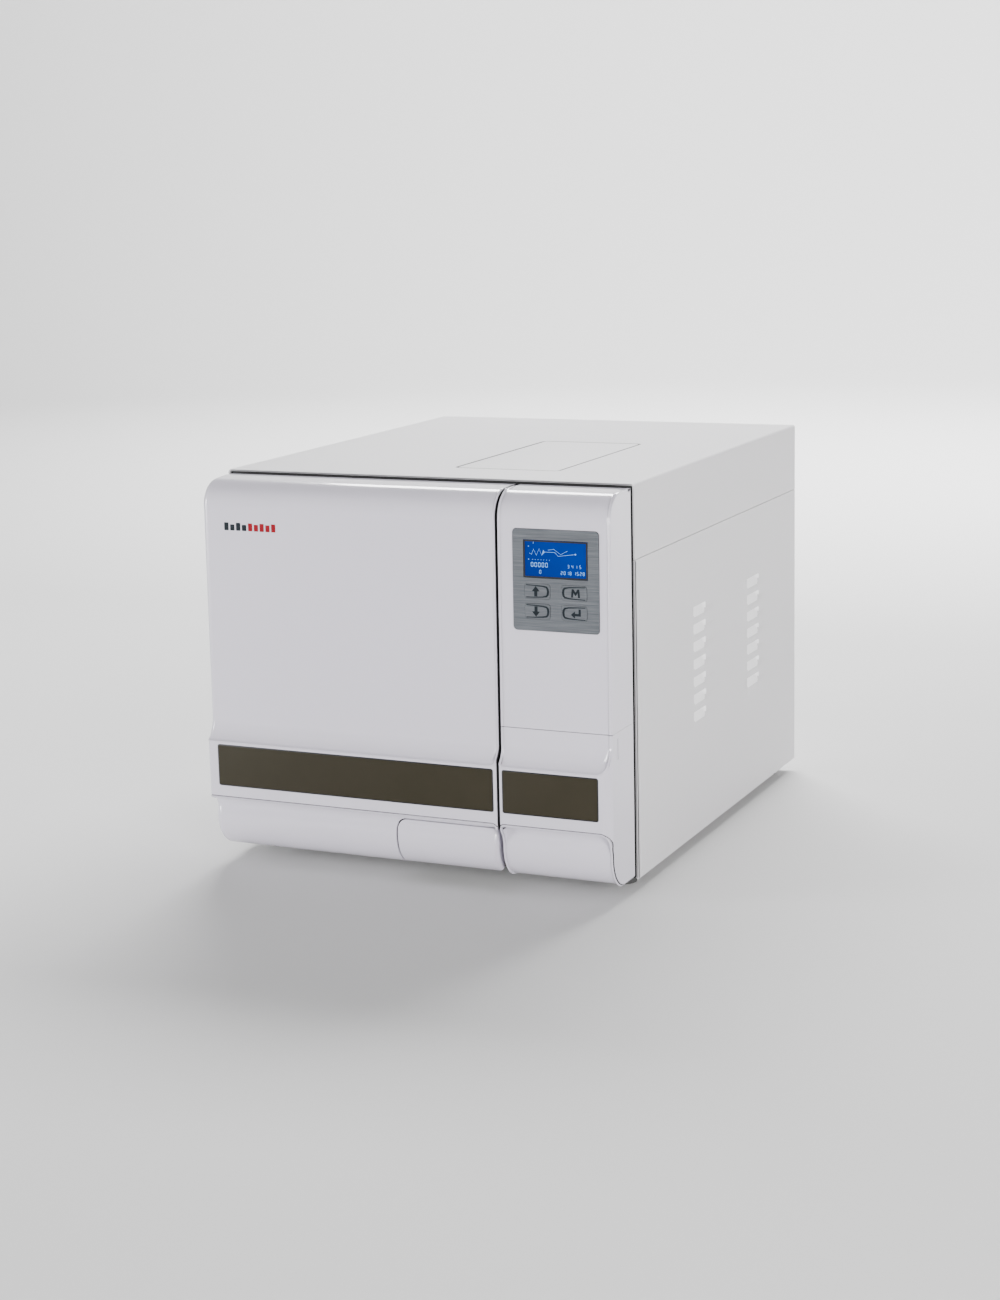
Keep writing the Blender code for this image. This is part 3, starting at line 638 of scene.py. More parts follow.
# front mouldings: one relief over the profile's path gives the door, the panel, the flap and the handle
front = {
    "half": 0.2212,
    "back": -0.006,
    "parting": (0.1027, 0.1057),
    "flapSeam": 0.159,
    "seamHalf": 0.0003,
    "beltTop": 0.1212,
    "beltBottom": 0.0612,
    "beltHeight": 0.0085,
    "coveRadius": 0.0276,
    "coveRise": 0.0199,
    "wall": 0.0024,
    "bead": 0.0008,
    "beadWidth": 0.0009,
    "flank": (0.0011, 0.0008),  # height and width of the lips at the sides
    "fade": (0.026, 0.034),  # where the belt's height starts under it, and over what length it grows
    "recessWall": 0.0014,
    "lip": (0.0005, 0.0008, 0.0006),  # place, height and width of the lip round the lower recess
    "groove": 0.0020,  # from the lower recess's outline to the groove round it, whose faces are painted black as shade so it reads as a dark line
    "grooveShadeHalf": 0.00036,
    "stripZ": (0.075, 0.118),
    "doorStripX": (-0.209, 0.0995),
    "flapStripX": (0.109, 0.2093),
}


def basePath():
    points = [(front["back"], 0.3874), (-0.018, 0.38755)]
    points += arcPoints((-0.0315, 0.3605), 0.026, 90, 180, 40)
    points += [(-0.0602, 0.150), (-0.0603, 0.0612)]
    turns = np.radians(np.linspace(158, 270, 50))
    points += [(-0.0320 + 0.0283 * cos(a), 0.0380 + 0.033 * sin(a)) for a in turns]
    points += [(front["back"], 0.0048)]
    path = np.array(points)
    steps = np.hypot(*np.diff(path, axis=0).T)
    level = -np.concatenate([[0], np.cumsum(steps)])
    upright = np.argmin(np.abs(path[:, 1] - 0.150))
    level += 0.150 - level[upright]
    return path, level


profilePath, profileLevel = basePath()


def onPath(level):
    # the point and the outward direction at a level, which is z on the upright face and path length beyond it
    rising, step = profileLevel[::-1], 0.0012

    def read(where):
        where = np.clip(where, rising[0], rising[-1])
        return np.array([np.interp(where, rising, profilePath[::-1, k]) for k in (0, 1)])

    y, z = read(level)
    dy, dz = read(level - step) - read(level + step)
    length = np.hypot(dy, dz)
    return y, z, dz / length, -dy / length


def smooth(value):
    value = np.clip(value, 0, 1)
    return value * value * (3 - 2 * value)


def quarter(distance, radius):
    # how far a rounded edge has fallen away at a distance from its end
    inner = np.clip(radius - distance, 0, radius)
    return radius - np.sqrt(np.maximum(radius * radius - inner * inner, 0))


def cornerRise(x, left, right, radii):
    # how far a recess's edge has moved at x, because its two corners are rounded
    rise = np.zeros_like(x)
    for side, radius, edge in ((-1, radii[0], left), (1, radii[1], right)):
        reach = np.clip((x - edge) * side + radius, 0, radius)
        rise = np.maximum(rise, radius - np.sqrt(np.maximum(radius * radius - reach * reach, 0)))
    return rise


def edgeDistance(x, level, left, right, radii, end, sign):
    # distance from a recess's rounded outline, negative inside; it runs from `end` up (1) or down (-1)
    out = np.full_like(x, -1.0)
    for side, radius, edge in ((-1, radii[0], left), (1, radii[1], right)):
        across = (x - edge) * side + radius
        along = (end - level) * sign + radius
        corner = np.hypot(np.maximum(across, 0), np.maximum(along, 0)) - radius
        distance = np.where((across > 0) & (along > 0), corner, np.maximum(across, along) - radius)
        out = np.maximum(out, distance)
    return out


def reliefAt(x, level, part):
    left, right = part["recess"]
    top, bottom = front["beltTop"], front["beltBottom"]
    upper = edgeDistance(x, level, left, right, part["upper"], top, 1)
    lower = edgeDistance(x, level, left, right, part["lower"], bottom, -1)
    rise = cornerRise(x, left, right, part["upper"])
    climb = np.clip(level - (top + rise), 0, front["coveRise"])
    bend = (front["coveRise"] - climb) / front["coveRadius"]
    cove = front["coveRadius"] * (1 - np.sqrt(1 - bend * bend))
    flankHeight, flankWidth = front["flank"]
    flank = flankHeight * smooth((x - right) / flankWidth + 1)
    flank = flank + flankHeight * smooth((left - x) / flankWidth + 1)
    below = front["beltHeight"] * smooth((level - front["fade"][0]) / front["fade"][1]) ** 2
    outer = np.where(level < bottom, np.maximum(below, flank), front["beltHeight"])
    height = np.where(level > top + rise, np.maximum(cove, flank), outer)
    height = np.where(lower < 0, height * (1 - smooth(-lower / front["recessWall"])), height)
    lipAt, lipHeight, lipWidth = front["lip"]
    height = height + front["bead"] * np.exp(-((upper + 0.0002) / front["beadWidth"]) ** 2)
    height = height + lipHeight * np.exp(-((lower - lipAt) / lipWidth) ** 2)
    height = height - lipHeight * np.exp(-((lower - front["groove"]) / lipWidth) ** 2)
    return height


def endRadius(level, radii):
    face, belt, sole = radii
    toBelt = smooth((0.150 - level) / 0.026)
    toSole = smooth((0.064 - level) / 0.020)
    radius = face + (belt - face) * toBelt
    return radius + (sole - radius) * toSole


def spaced(values, low, high, gap, always=None):
    # the values in order, without those closer than the gap to the one before
    values = sorted(v for v in values if low <= v <= high)
    kept = [values[0]]
    for v in values[1:]:
        if v - kept[-1] > gap or v == always:
            kept.append(v)
    return np.array(kept)


def frontLevels(low, high):
    top, bottom = profileLevel[0], profileLevel[-1]
    spans = [
        (bottom, 0.000, 0.003), (0.000, 0.056, 0.0022), (0.056, 0.0595, 0.0007), (0.0595, 0.0662, 0.00035),
        (0.0662, 0.0745, 0.0014), (0.0745, 0.1185, 0.005), (0.1185, 0.1235, 0.0004), (0.1235, 0.145, 0.0011),
        (0.145, 0.162, 0.0016), (0.162, 0.350, 0.0095), (0.350, 0.412, 0.0020), (0.412, top, 0.004),
    ]
    levels = [low, high]
    for start, end, step in spans:
        levels += list(np.arange(start, end, step))
    return spaced(levels, low - 1e-9, high + 1e-9, 0.2 * mm, high)[::-1]


def frontColumns(x0, x1):
    near = [0, 0.1, 0.25, 0.45, 0.7, 1.0, 1.35, 1.75, 2.2, 2.6, 2.9, 3.2, 3.7, 4.3, 5.0, 5.8, 6.7]
    near = np.array(near + [7.7, 8.8, 10, 11.3, 12.7, 14.2, 15.9, 18]) * mm
    middle = np.linspace(x0 + 0.022, x1 - 0.022, max(3, int((x1 - x0 - 0.044) / 0.010)))
    return np.concatenate([x0 + near, middle, (x1 - near)[::-1]])


def mouldedSheet(name, part, low, high, holes=(), seamLow=0, seamHigh=0):
    # a relief sheet between two levels with side walls back to the part's rear edge, then given its wall
    x0, x1 = part["x"]
    xs, levels = frontColumns(x0, x1), frontLevels(low, high)
    x, level = np.meshgrid(xs, levels)
    left, right = part["recess"]
    riseUp = cornerRise(x, left, right, part["upper"])
    fallLow = cornerRise(x, left, right, part["lower"])
    top, bottom = front["beltTop"], front["beltBottom"]
    fixedTop, fixedLow = 0.160, 0.020
    knots = [
        ((level >= top) & (level < fixedTop), riseUp * (fixedTop - level) / (fixedTop - top)),
        ((level < top) & (level > 0.095), riseUp * (level - 0.095) / (top - 0.095)),
        ((level <= 0.095) & (level > bottom), -fallLow * (0.095 - level) / (0.095 - bottom)),
        ((level <= bottom) & (level > fixedLow), -fallLow * (level - fixedLow) / (bottom - fixedLow)),
    ]
    warped = level.copy()
    for where, change in knots:
        warped = np.where(where, level + change, warped)
    warped = np.clip(warped, low, high)
    height = reliefAt(x, warped, part)
    height = height - quarter(x - x0, endRadius(warped, part["edges"][0]))
    height = height - quarter(x1 - x, endRadius(warped, part["edges"][1]))
    y, z, ny, nz = onPath(warped)
    upright = smooth((warped - 0.040) / 0.02) * smooth((0.33 - warped) / 0.02)
    ny, nz = ny * (1 - upright) - upright, nz * (1 - upright)
    y, z = y + ny * height, z + nz * height
    y = np.minimum(y, part["back"])
    rows, columns = x.shape
    verts = np.stack([x, y, z], -1).reshape(-1, 3)
    faces = gridFaces(rows, columns)
    middle = (warped[1:, 1:] + warped[:-1, :-1]) / 2
    # painted shade: faces along the groove take the black inside finish, so it reads as a dark line
    groove = edgeDistance((x[1:, 1:] + x[:-1, :-1]) / 2, middle, left, right, part["lower"], bottom, -1)
    marks = list((np.abs(groove - front["groove"]) < front["grooveShadeHalf"]).astype(int).ravel())
    walls = []
    for column, order in ((0, -1), (columns - 1, 1)):
        strips = [np.arange(rows) * columns + column]
        for depth in (0.0003, 0.004, 1.0):
            wallY = np.minimum(y[:, column] + depth, part["back"])
            wallZ = z[:, column].copy()
            ease = min(1.0, depth / 0.004) * front["seamHalf"]  # the seam closes behind its front edge
            wallZ[0] += ease * seamHigh
            wallZ[-1] -= ease * seamLow
            start = len(verts) + sum(len(w) for w in walls)
            walls.append(np.stack([x[:, column], wallY, wallZ], -1))
            strips.append(np.arange(rows) + start)
        for n, (inner, outer) in enumerate(zip(strips, strips[1:])):
            for r in range(rows - 1):
                quad = (inner[r], outer[r], outer[r + 1], inner[r + 1])
                faces.append(tuple(int(v) for v in (quad if order < 0 else quad[::-1])))
                # painted shade: at the parting end, the wall behind its front edge takes the black inside
                # finish
                marks.append(1 if n and part["seal"] == order and levels[r] > front["beltBottom"] else 0)
    verts = np.concatenate([verts, *walls])
    mesh = tidyMesh(name, verts, faces, marks, turnOut=False)
    for hole in holes:
        punched(mesh, *hole)
    made = thickened(name, mesh, front["wall"], shadeSlot=1)  # painted shade: dark inside and rims, so that the seams read dark
    for vertex in made.vertices:  # the wall stays within the sheet's own ends
        vertex.co.x = min(max(vertex.co.x, x0), x1)
        vertex.co.z = min(vertex.co.z, profilePath[:, 1].max())
    return made


def onFront(face):
    return face.normal.y < -0.3 or face.normal.y > 0.3


def stripPocket(span):
    low, high = front["stripZ"]
    slack = 0.2 * mm
    outline = roundRect((span[0] - slack, low - slack), (span[1] + slack, high + slack), 2.4 * mm)
    return outline, (0, 2), onFront


def makeStrip(name, span, body, node):
    # a smoked window with a black printed border, let into the belt
    low, high = front["stripZ"]
    rim = roundRect((span[0], low), (span[1], high), 2.2 * mm)
    inner = roundRect((span[0] + 1.1 * mm, low + 1.1 * mm), (span[1] - 1.1 * mm, high - 1.1 * mm), 1.4 * mm)
    window = slab(name, [rim], -0.0690, -0.0676, "Y", 0.25 * mm)
    piece(name, shifted(window), "blackBorder", body, (node,))
    face = slab(name + "Face", [inner], -0.0691, -0.0685, "Y", 0.1 * mm)
    piece(name + "Face", shifted(face), "smokedStrip", body)


door = {
    "x": (-front["half"], front["parting"][0]),
    "back": front["back"],
    "seal": 1,  # painted shade: the end at the parting line is black down its wall behind the front edge, so the gap reads dark
    "recess": (-0.300, 0.1017),
    "upper": (0.001, 0.006),
    "lower": (0.001, 0.005),
    "edges": ((0.0065, 0.0045, 0.008), (0.0011, 0.0013, 0.0013)),
}
panel = {
    "x": (front["parting"][1], front["half"]),
    "back": front["back"],
    "seal": -1,
    "recess": (0.1064, 0.2187),
    "upper": (0.003, 0.013),
    "lower": (0.0035, 0.0085),
    "edges": ((0.0010, 0.0012, 0.0012), (0.0013, 0.0095, 0.0014)),
}
handle = {
    "x": (-0.0105, 0.0985),
    "top": 0.055,
    "back": -0.044,
    "corner": 0.010,
    "seam": 0.0016,
    "edge": 0.0009,
    "rightEdge": 0.0060,
}


glossAndShade = ["glossWhite", "shadowBlack"]  # a moulding's outside, and the black painted shade for its inside and rims


def handleOutline(grow):
    x0, x1, top, corner = handle["x"][0] - grow, 0.130, handle["top"] + grow, handle["corner"] + grow
    return [(x1, top), *arcPoints((x0 + corner, top - corner), corner, 90, 180, 10), (x0, -0.02), (x1, -0.02)]


def makeDoor():
    holes = [stripPocket(front["doorStripX"]), (handleOutline(handle["seam"]),)]
    shell = shifted(mouldedSheet("doorCover", door, profileLevel[-1], profileLevel[0], holes))
    piece("doorCover", shell, glossAndShade, "door", ("door_cover",))
    makeStrip("doorStrip", front["doorStripX"], "door", "door_strip")


def makeHandle():
    x0, x1 = handle["x"]
    near = np.array([0, 0.1, 0.3, 0.6, 1.0, 1.6, 2.4, 3.4, 4.6, 6.0, 7.6, 9.0, 10.0]) * mm
    xs = np.concatenate([x0 + near, np.linspace(x0 + 0.014, x1 - 0.012, 9), (x1 - near[:-2])[::-1]])
    tops = handle["top"] - quarter(xs - x0, handle["corner"])
    bottom = np.interp(-handle["back"], -profilePath[::-1, 0][:40], profileLevel[::-1][:40])
    share = np.concatenate([[0, 0.002, 0.006, 0.012, 0.02, 0.035], np.linspace(0.06, 1, 24)])
    level = tops[None, :] - (tops[None, :] - bottom) * share[:, None]
    x = np.broadcast_to(xs, level.shape)
    across = np.maximum(x0 + handle["corner"] - x, 0)
    along = np.maximum(level - (handle["top"] - handle["corner"]), 0)
    corner = handle["corner"] - np.hypot(across, along)
    edge = np.where((across > 0) & (along > 0), corner, np.minimum(x - x0, handle["top"] - level))
    height = -quarter(edge, handle["edge"]) - quarter(x1 - x, handle["rightEdge"])
    y, z, ny, nz = onPath(level)
    y, z = np.minimum(y + ny * height, handle["back"]), z + nz * height
    rows, columns = x.shape
    verts = np.stack([x, y, z], -1).reshape(-1, 3)
    faces = gridFaces(rows, columns)
    rim = [c for c in range(columns)]
    rim += [r * columns + columns - 1 for r in range(1, rows)]
    rim += [(rows - 1) * columns + c for c in range(columns - 2, -1, -1)]
    rim += [r * columns for r in range(rows - 2, 0, -1)]
    start = len(verts)
    wall = verts[rim].copy()
    wall[:, 1] = handle["back"]
    count = len(rim)
    faces += [(rim[n], rim[(n + 1) % count], start + (n + 1) % count, start + n) for n in range(count)]
    faces.append(tuple(range(start, start + count)))
    mesh = tidyMesh("doorHandle", np.concatenate([verts, wall]), faces)
    piece("doorHandle", shifted(mesh), "glossWhite", "handle", ("door_handle",))
    # painted shade: the pocket wall behind the finger gap is coloured dark grey, as white plastic in shade
    low, high = (0.0900, -0.0436, 0.0130), (0.1022, -0.0424, 0.0560)
    recess = block("fingerRecess", low, high, 0.4 * mm)
    piece("fingerRecess", shifted(recess), "recessGrey", "door")


def makeFlap():
    top = front["flapSeam"] - front["seamHalf"]
    slot = roundRect((-0.0475, 0.132), (-0.0453, 0.153), 1.0 * mm)
    sideWall = (slot, (1, 2), lambda face: face.calc_center_median().x > 0.2205)
    holes = [stripPocket(front["flapStripX"]), sideWall]
    shell = shifted(mouldedSheet("serviceFlap", panel, profileLevel[-1], top, holes, seamHigh=1))
    piece("serviceFlap", shell, glossAndShade, "flap", ("service_flap",))
    makeStrip("flapStrip", front["flapStripX"], "flap", "flap_strip")


control = {
    "middle": (0.16515, 0.30425),
    "half": (0.0441, 0.04875),
    "corner": 0.004,
    "screenX": (-0.03275, 0.03275),
    "screenZ": (0.0023, 0.0383),
    "keys": {
        "up": (-0.0188, -0.01075),
        "menu": (0.0188, -0.01075),
        "down": (-0.0188, -0.02995),
        "enter": (0.0188, -0.02995),
    },
}
controlTilt = atan(0.0027 / 0.2105)


def faceY(z):
    return -0.0575 - (0.3605 - z) * 0.0027 / 0.2105


def onTilt(x, z):
    # puts a drawing on the slightly tilted face of the mouldings
    return Matrix.Translation(inFrame((x, faceY(z), z))) @ Matrix.Rotation(-controlTilt, 4, "X")


def onFace(mesh):
    # from the control face's own drawing plane to the part's frame
    mesh.transform(onTilt(*control["middle"]))
    return mesh


def makePanel():
    half, slack = control["half"], 0.35 * mm
    x, z = control["middle"]
    low, high = (x - half[0] - slack, z - half[1] - slack), (x + half[0] + slack, z + half[1] + slack)
    hole = (roundRect(low, high, control["corner"]), (0, 2), onFront)
    low = front["flapSeam"] + front["seamHalf"]
    shell = shifted(mouldedSheet("controlPanelShell", panel, low, profileLevel[0], [hole], seamLow=1))
    piece("controlPanelShell", shell, glossAndShade, "cabinet", ("right_upper_panel",))


makeDoor()
makeHandle()
makeFlap()
makePanel()
print("front mouldings made")


# printing on the control face: flat shapes a hair in front of the depth given
def printed(name, shapes, depth, finish, body):
    low, high = depth - 0.08 * mm, depth + 0.05 * mm
    meshes = [slab(f"{name}{n}", [loop], low, high, "Y") for n, loop in enumerate(shapes)]
    mesh = onFace(joined(name, meshes))
    return piece(name, mesh, finish, body)


def ribbon(points, width):
    # a closed outline round an open line; width may change from point to point
    count = len(points)
    widths = width if isinstance(width, (list, tuple)) else [width] * count
    left, right = [], []
    for n, (here, half) in enumerate(zip(points, widths)):
        before, after = Vector(points[max(n - 1, 0)]), Vector(points[min(n + 1, count - 1)])
        along = (after - before).normalized()
        side = Vector((-along.y, along.x)) * half / 2
        left.append(tuple(Vector(here) + side))
        right.append(tuple(Vector(here) - side))
    return left + right[::-1]


def around(points, centre):
    return [(x + centre[0], z + centre[1]) for x, z in points]


def scaled(points, factor):
    return [(x * factor, z * factor) for x, z in points]


arrowUp = [(-1.2, -3.6), (1.2, -3.6), (1.2, 0.1), (3.1, 0.1), (0, 3.9), (-3.1, 0.1), (-1.2, 0.1)]
letterM = [(-3.5, -3.0), (-1.9, -3.0), (-1.7, 0.5), (0, -1.9), (1.7, 0.5), (1.9, -3.0), (3.5, -3.0),
           (2.9, 3.1), (1.5, 3.1), (0, 0.7), (-1.5, 3.1), (-2.9, 3.1)]
returnArrow = [(-3.8, -1.0), (-0.6, 1.6), (-0.6, -0.1), (2.2, -0.1), (2.2, 3.2), (3.9, 3.2), (3.9, -1.9),
               (-0.6, -1.9), (-0.6, -3.6)]
glyphs = {
    "up": arrowUp,
    "down": [(x, -z) for x, z in arrowUp[::-1]],
    "menu": letterM,
    "enter": returnArrow,
}
segments = {  # which bars of a seven-bar digit are lit
    "0": "abcdef", "1": "bc", "2": "abged", "3": "abgcd", "4": "fgbc", "5": "afgcd", "8": "abcdefg",
}


def digit(character, at, size):
    w, h, t = size * 0.52, size, size * 0.13
    bars = {
        "a": ((0, h), (w, h)), "b": ((w, h), (w, h / 2)), "c": ((w, h / 2), (w, 0)), "d": ((0, 0), (w, 0)),
        "e": ((0, h / 2), (0, 0)), "f": ((0, h), (0, h / 2)), "g": ((0, h / 2), (w, h / 2)),
    }
    return [around(ribbon([Vector(a).lerp(Vector(b), 0.1), Vector(a).lerp(Vector(b), 0.9)], t), at)
            for a, b in (bars[k] for k in segments[character])]


def makeKeys():
    for key, centre in control["keys"].items():
        inner = 1 if centre[0] < 0 else -1  # the bracket closes towards the middle
        outline = [(-11.5, 5.9), (-3.0, 5.7), (5.4, 5.2), (9.4, 4.4), (10.7, 2.6), (11.1, 0), (10.7, -2.6),
                   (9.4, -4.4), (5.4, -5.2), (-3.0, -5.7), (-11.5, -5.9)]
        widths = [0.9, 1.0, 1.3, 1.8, 2.2, 2.3, 2.2, 1.8, 1.3, 1.0, 0.9]
        shape = ribbon(outline, widths)
        if key in ("up", "menu"):
            shape = [(x, z + 0.1) for x, z in shape]
        shape = [(x * inner, z) for x, z in shape][::inner]
        bracket = around(scaled(shape, mm), centre)
        glyph = around(scaled(glyphs[key], 1.32 * mm), (centre[0] - inner * 1.6 * mm, centre[1]))
        printed(f"{key}Mark", [bracket, glyph], -0.0011, "inkDark", f"button_{key}")


def makeScreen():
    x0, x1 = control["screenX"]
    z0, z1 = control["screenZ"]
    rim = roundRect((x0 + 0.1 * mm, z0 + 0.1 * mm), (x1 - 0.1 * mm, z1 - 0.1 * mm))
    hole = roundRect((x0 + 1.5 * mm, z0 + 1.5 * mm), (x1 - 1.5 * mm, z1 - 1.5 * mm))
    border = onFace(slab("screenBorder", [rim, hole], -0.0008, -0.0004, "Y"))
    piece("screenBorder", border, "blackBorder", "cabinet")
    zig = [(5, 22.5), (7, 21), (9, 26.5), (12, 20.5), (15, 27), (17.5, 20.8), (19.5, 26), (20.5, 23.5)]
    lines = [
        ribbon(scaled(zig, mm), 0.35 * mm),
        ribbon(scaled([(20.5, 24), (31, 24), (34.5, 20.5), (52, 23)], mm), 0.30 * mm),
        ribbon(scaled([(24, 26), (30, 27), (33, 25), (37, 22.2), (44, 26)], mm), 0.25 * mm),
    ]
    lines.append(arcPoints((52 * mm, 23 * mm), 0.8 * mm, 0, 330, 8))
    lines += [arcPoints(((8 + 2.9 * n) * mm, 16.4 * mm), 0.35 * mm, 0, 300, 5) for n in range(7)]
    lines += [arcPoints((4 * mm, z * mm), 0.5 * mm, 0, 300, 5) for z in (29, 16.5)]
    lines.append(ribbon(scaled([(9, 35), (9, 31.5)], mm), 0.3 * mm))
    x = 6.5
    for character in "00000":
        lines += digit(character, (x * mm, 9.6 * mm), 4.0 * mm)
        x += 3.7
    for n, character in enumerate("20181528"):
        lines += digit(character, ((37 + 3.0 * n + (1.4 if n > 3 else 0)) * mm, 3.3 * mm), 3.0 * mm)
    for n, character in enumerate("3415"):
        lines += digit(character, ((44 + 4.0 * n) * mm, 9.8 * mm), 2.8 * mm)
    lines += digit("0", (15 * mm, 3.3 * mm), 3.2 * mm)
    shapes = [around(line, (x0 + 1.2 * mm, z0 + 1.0 * mm)) for line in lines]
    printed("screenReadout", shapes, -0.0004, "displayPale", "cabinet")


def makeMark():
    # a plain mark with no lettering: dark and red bars
    shapes = {"doorMarkDark": [], "doorMarkRed": []}
    low, high = 0.3375, 0.3455
    for n in range(4):
        x = -0.1955 + 0.0068 * n
        top = high - (0.0018 if n % 2 else 0)
        shapes["doorMarkDark"].append(roundRect((x, low), (x + 0.0050, top), 0.8 * mm))
    for n in range(5):
        x = -0.1680 + 0.0066 * n
        top = high - (0.0012 if n % 2 else 0)
        shapes["doorMarkRed"].append(roundRect((x, low), (x + 0.0048, top), 0.5 * mm))
    middle = (low + high) / 2
    for name, loops in shapes.items():
        flat = [[(x, z - middle) for x, z in loop] for loop in loops]
        meshes = [slab(f"{name}{n}", [loop], -0.15 * mm, 0.15 * mm, "Y") for n, loop in enumerate(flat)]
        mesh = joined(name, meshes)
        mesh.transform(onTilt(0, middle))
        piece(name, mesh, "inkDark" if name.endswith("Dark") else "inkRed", "door")


makeKeys()
makeScreen()
makeMark()
print("control face printed")


# sheet-metal cabinet
louvre = {
    "columns": ((0.1640, 0.2005), (0.3355, 0.3755)),
    "top": 0.2420,
    "pitch": 0.01843,
    "count": 7,
    "height": 0.0132,
    "nearTop": [0.2, 0, -0.2, -0.4, -0.7, -1.1, -1.7, -2.6, -3.8, -5.2],  # steps at the top edge, in mm
    "depth": 0.0046,
    "sheet": 0.0013,
    "ramps": (0.014, 0.005),  # length of the ramp at the front and at the rear end
}


def louvreDepth(y, z):
    # how deep the pressed scoops go: deepest just under their top edge, flush at the bottom
    depth = np.zeros_like(y)
    for first, last in louvre["columns"]:
        for n in range(louvre["count"]):
            top = louvre["top"] - louvre["pitch"] * n
            down = (top - z) / louvre["height"]
            inside = (down > 0) & (down < 1) & (y > first) & (y < last)
            ramps = louvre["ramps"]
            ends = np.minimum((y - first) / ramps[0], (last - y) / ramps[1])
            fall = np.clip(1 - down, 0, 1) ** 0.9 * smooth(down * louvre["height"] / 0.0007)
            across = np.sqrt(np.clip(1 - (1 - np.clip(ends, 0, 1)) ** 2, 0, 1))
            depth = np.where(inside, louvre["depth"] * fall * across, depth)
    return depth


def louvreLines(edges, low, high, fine, coarse):
    lines = [low, high]
    for start, end in edges:
        lines += list(np.arange(start - 0.0004, end + 0.0006, fine))
    here = low
    while here < high:
        if all(not (start - 0.001 < here < end + 0.001) for start, end in edges):
            lines.append(here)
        here += coarse
    return spaced(lines, low, high, 0.1 * mm)


def makeSidePanel(name, side, node):
    half, depth, seam = cabinet["half"], cabinet["depth"], cabinet["sideSeam"] - 0.0003
    ys = louvreLines(louvre["columns"], 0.0, depth, 0.0012, 0.04)
    zs = [0.0, seam]
    for n in range(louvre["count"]):
        top = louvre["top"] - louvre["pitch"] * n
        zs += list(top + np.array(louvre["nearTop"]) * mm)
        zs += list(top - louvre["height"] * np.array([0.5, 0.62, 0.74, 0.86, 0.95, 1.0]))
    zs += [0.03, 0.06, 0.09, 0.26, 0.29]
    zs = np.array(sorted(zs))
    y, z = np.meshgrid(ys, zs)
    x = side * (half - louvreDepth(y, z))
    rows, columns = y.shape
    verts = list(np.stack([x, y, z], -1).reshape(-1, 3))
    # painted light: scoop faces deeper than 0.8 mm get the much lighter louvre coat, 0.90 against 0.60,
    # standing in for the light they catch
    paintedLightFaces = louvreDepth((y[1:, 1:] + y[:-1, :-1]) / 2, (z[1:, 1:] + z[:-1, :-1]) / 2) > 0.0008
    faces, marks = [], []
    for r in range(rows - 1):
        for c in range(columns - 1):
            here = (r * columns + c, r * columns + c + 1, (r + 1) * columns + c + 1, (r + 1) * columns + c)
            faces.append(here if side > 0 else here[::-1])
            marks.append(int(paintedLightFaces[r, c]))
    mesh = tidyMesh(name, verts, faces, marks, turnOut=False)
    mesh = thickened(name, mesh, louvre["sheet"])
    fold = 0.0022  # the front edge is folded in, so its rim looks thicker
    low, high = sorted((side * half, side * (half - fold)))
    hem = block("hem", (low, 0.0, 0.0), (high, 0.004, seam), 0.0008)
    mesh = joined(name, [mesh, hem])
    coats = ["powderCoat", "louvrePaintedLight"]
    piece(name, shifted(mesh), coats, "cabinet", (node,), 50.0)


def makeTopCover():
    half, height, depth = cabinet["half"], cabinet["height"], cabinet["depth"]
    seam, bend = cabinet["sideSeam"] + 0.0003, 0.0032
    ys = [0.0, 0.0006, 0.0025] + list(np.linspace(0.03, depth - 0.0006, 12)) + [depth]
    outline = [(half, seam), (half, height - bend - 0.02)]
    outline += arcPoints((half - bend, height - bend), bend, 0, 90, 7)
    outline += arcPoints((bend - half, height - bend), bend, 90, 180, 7)
    outline += [(-half, height - bend - 0.02), (-half, seam)]
    count = len(outline)
    verts = [(x, y, z) for y in ys for x, z in outline]
    mesh = tidyMesh("topCover", verts, gridFaces(len(ys), count), turnOut=False)
    first, last, slack = hatch["x"], hatch["y"], hatch["gap"]
    corners = (first[0] - slack, last[0] - slack), (first[1] + slack, last[1] + slack)
    outline = roundRect(*corners, 0.0072)
    punched(mesh, outline, (0, 1), lambda face: face.calc_center_median().z > height - 0.0005)
    flat = max(mesh.polygons, key=lambda f: f.area)
    offset = -1 if flat.normal.z > 0.5 or flat.normal.x * flat.center.x > 0 else 1
    # painted shade: the inside and front rim are black, so the gaps round the cover read dark
    mesh = thickened("topCover", mesh, cabinet["sheet"], offset, shadeSlot=1)
    hem = block("hem", (-half + 0.002, 0.0, height - 0.0019), (half - 0.002, 0.005, height - 0.0002), 0.0005)
    mesh = joined("topCover", [mesh, hem])
    coats = ["powderCoat", "shadowBlack"]
    piece("topCover", shifted(mesh), coats, "cabinet", ("top_cover",), 40.0)


hatch = {"x": (0.004, 0.114), "y": (0.070, 0.297), "gap": 0.0030}


def makeHatch():
    # a flush lid with softly rolled edges
    height = cabinet["height"]
    outline = roundRect((hatch["x"][0], hatch["y"][0]), (hatch["x"][1], hatch["y"][1]), 0.0042, 6)
    mesh = slab("tankHatch", [outline], height - 0.0015, height, "Z", 0.0004)
    piece("tankHatch", shifted(mesh), "powderCoat", "hatch", ("tank_hatch",))
    # painted shade: a black rubber ring just under the gap round the lid, so the gap reads dark
    loops = []
    for grow, corner in ((hatch["gap"], 0.0070), (0.0003, 0.0044)):
        low = (hatch["x"][0] - grow, hatch["y"][0] - grow)
        loops.append(roundRect(low, (hatch["x"][1] + grow, hatch["y"][1] + grow), corner))
    seal = slab("hatchGapShade", loops, height - 0.0017, height - 0.1 * mm, "Z")
    piece("hatchGapShade", shifted(seal), "blackRubber", "cabinet")


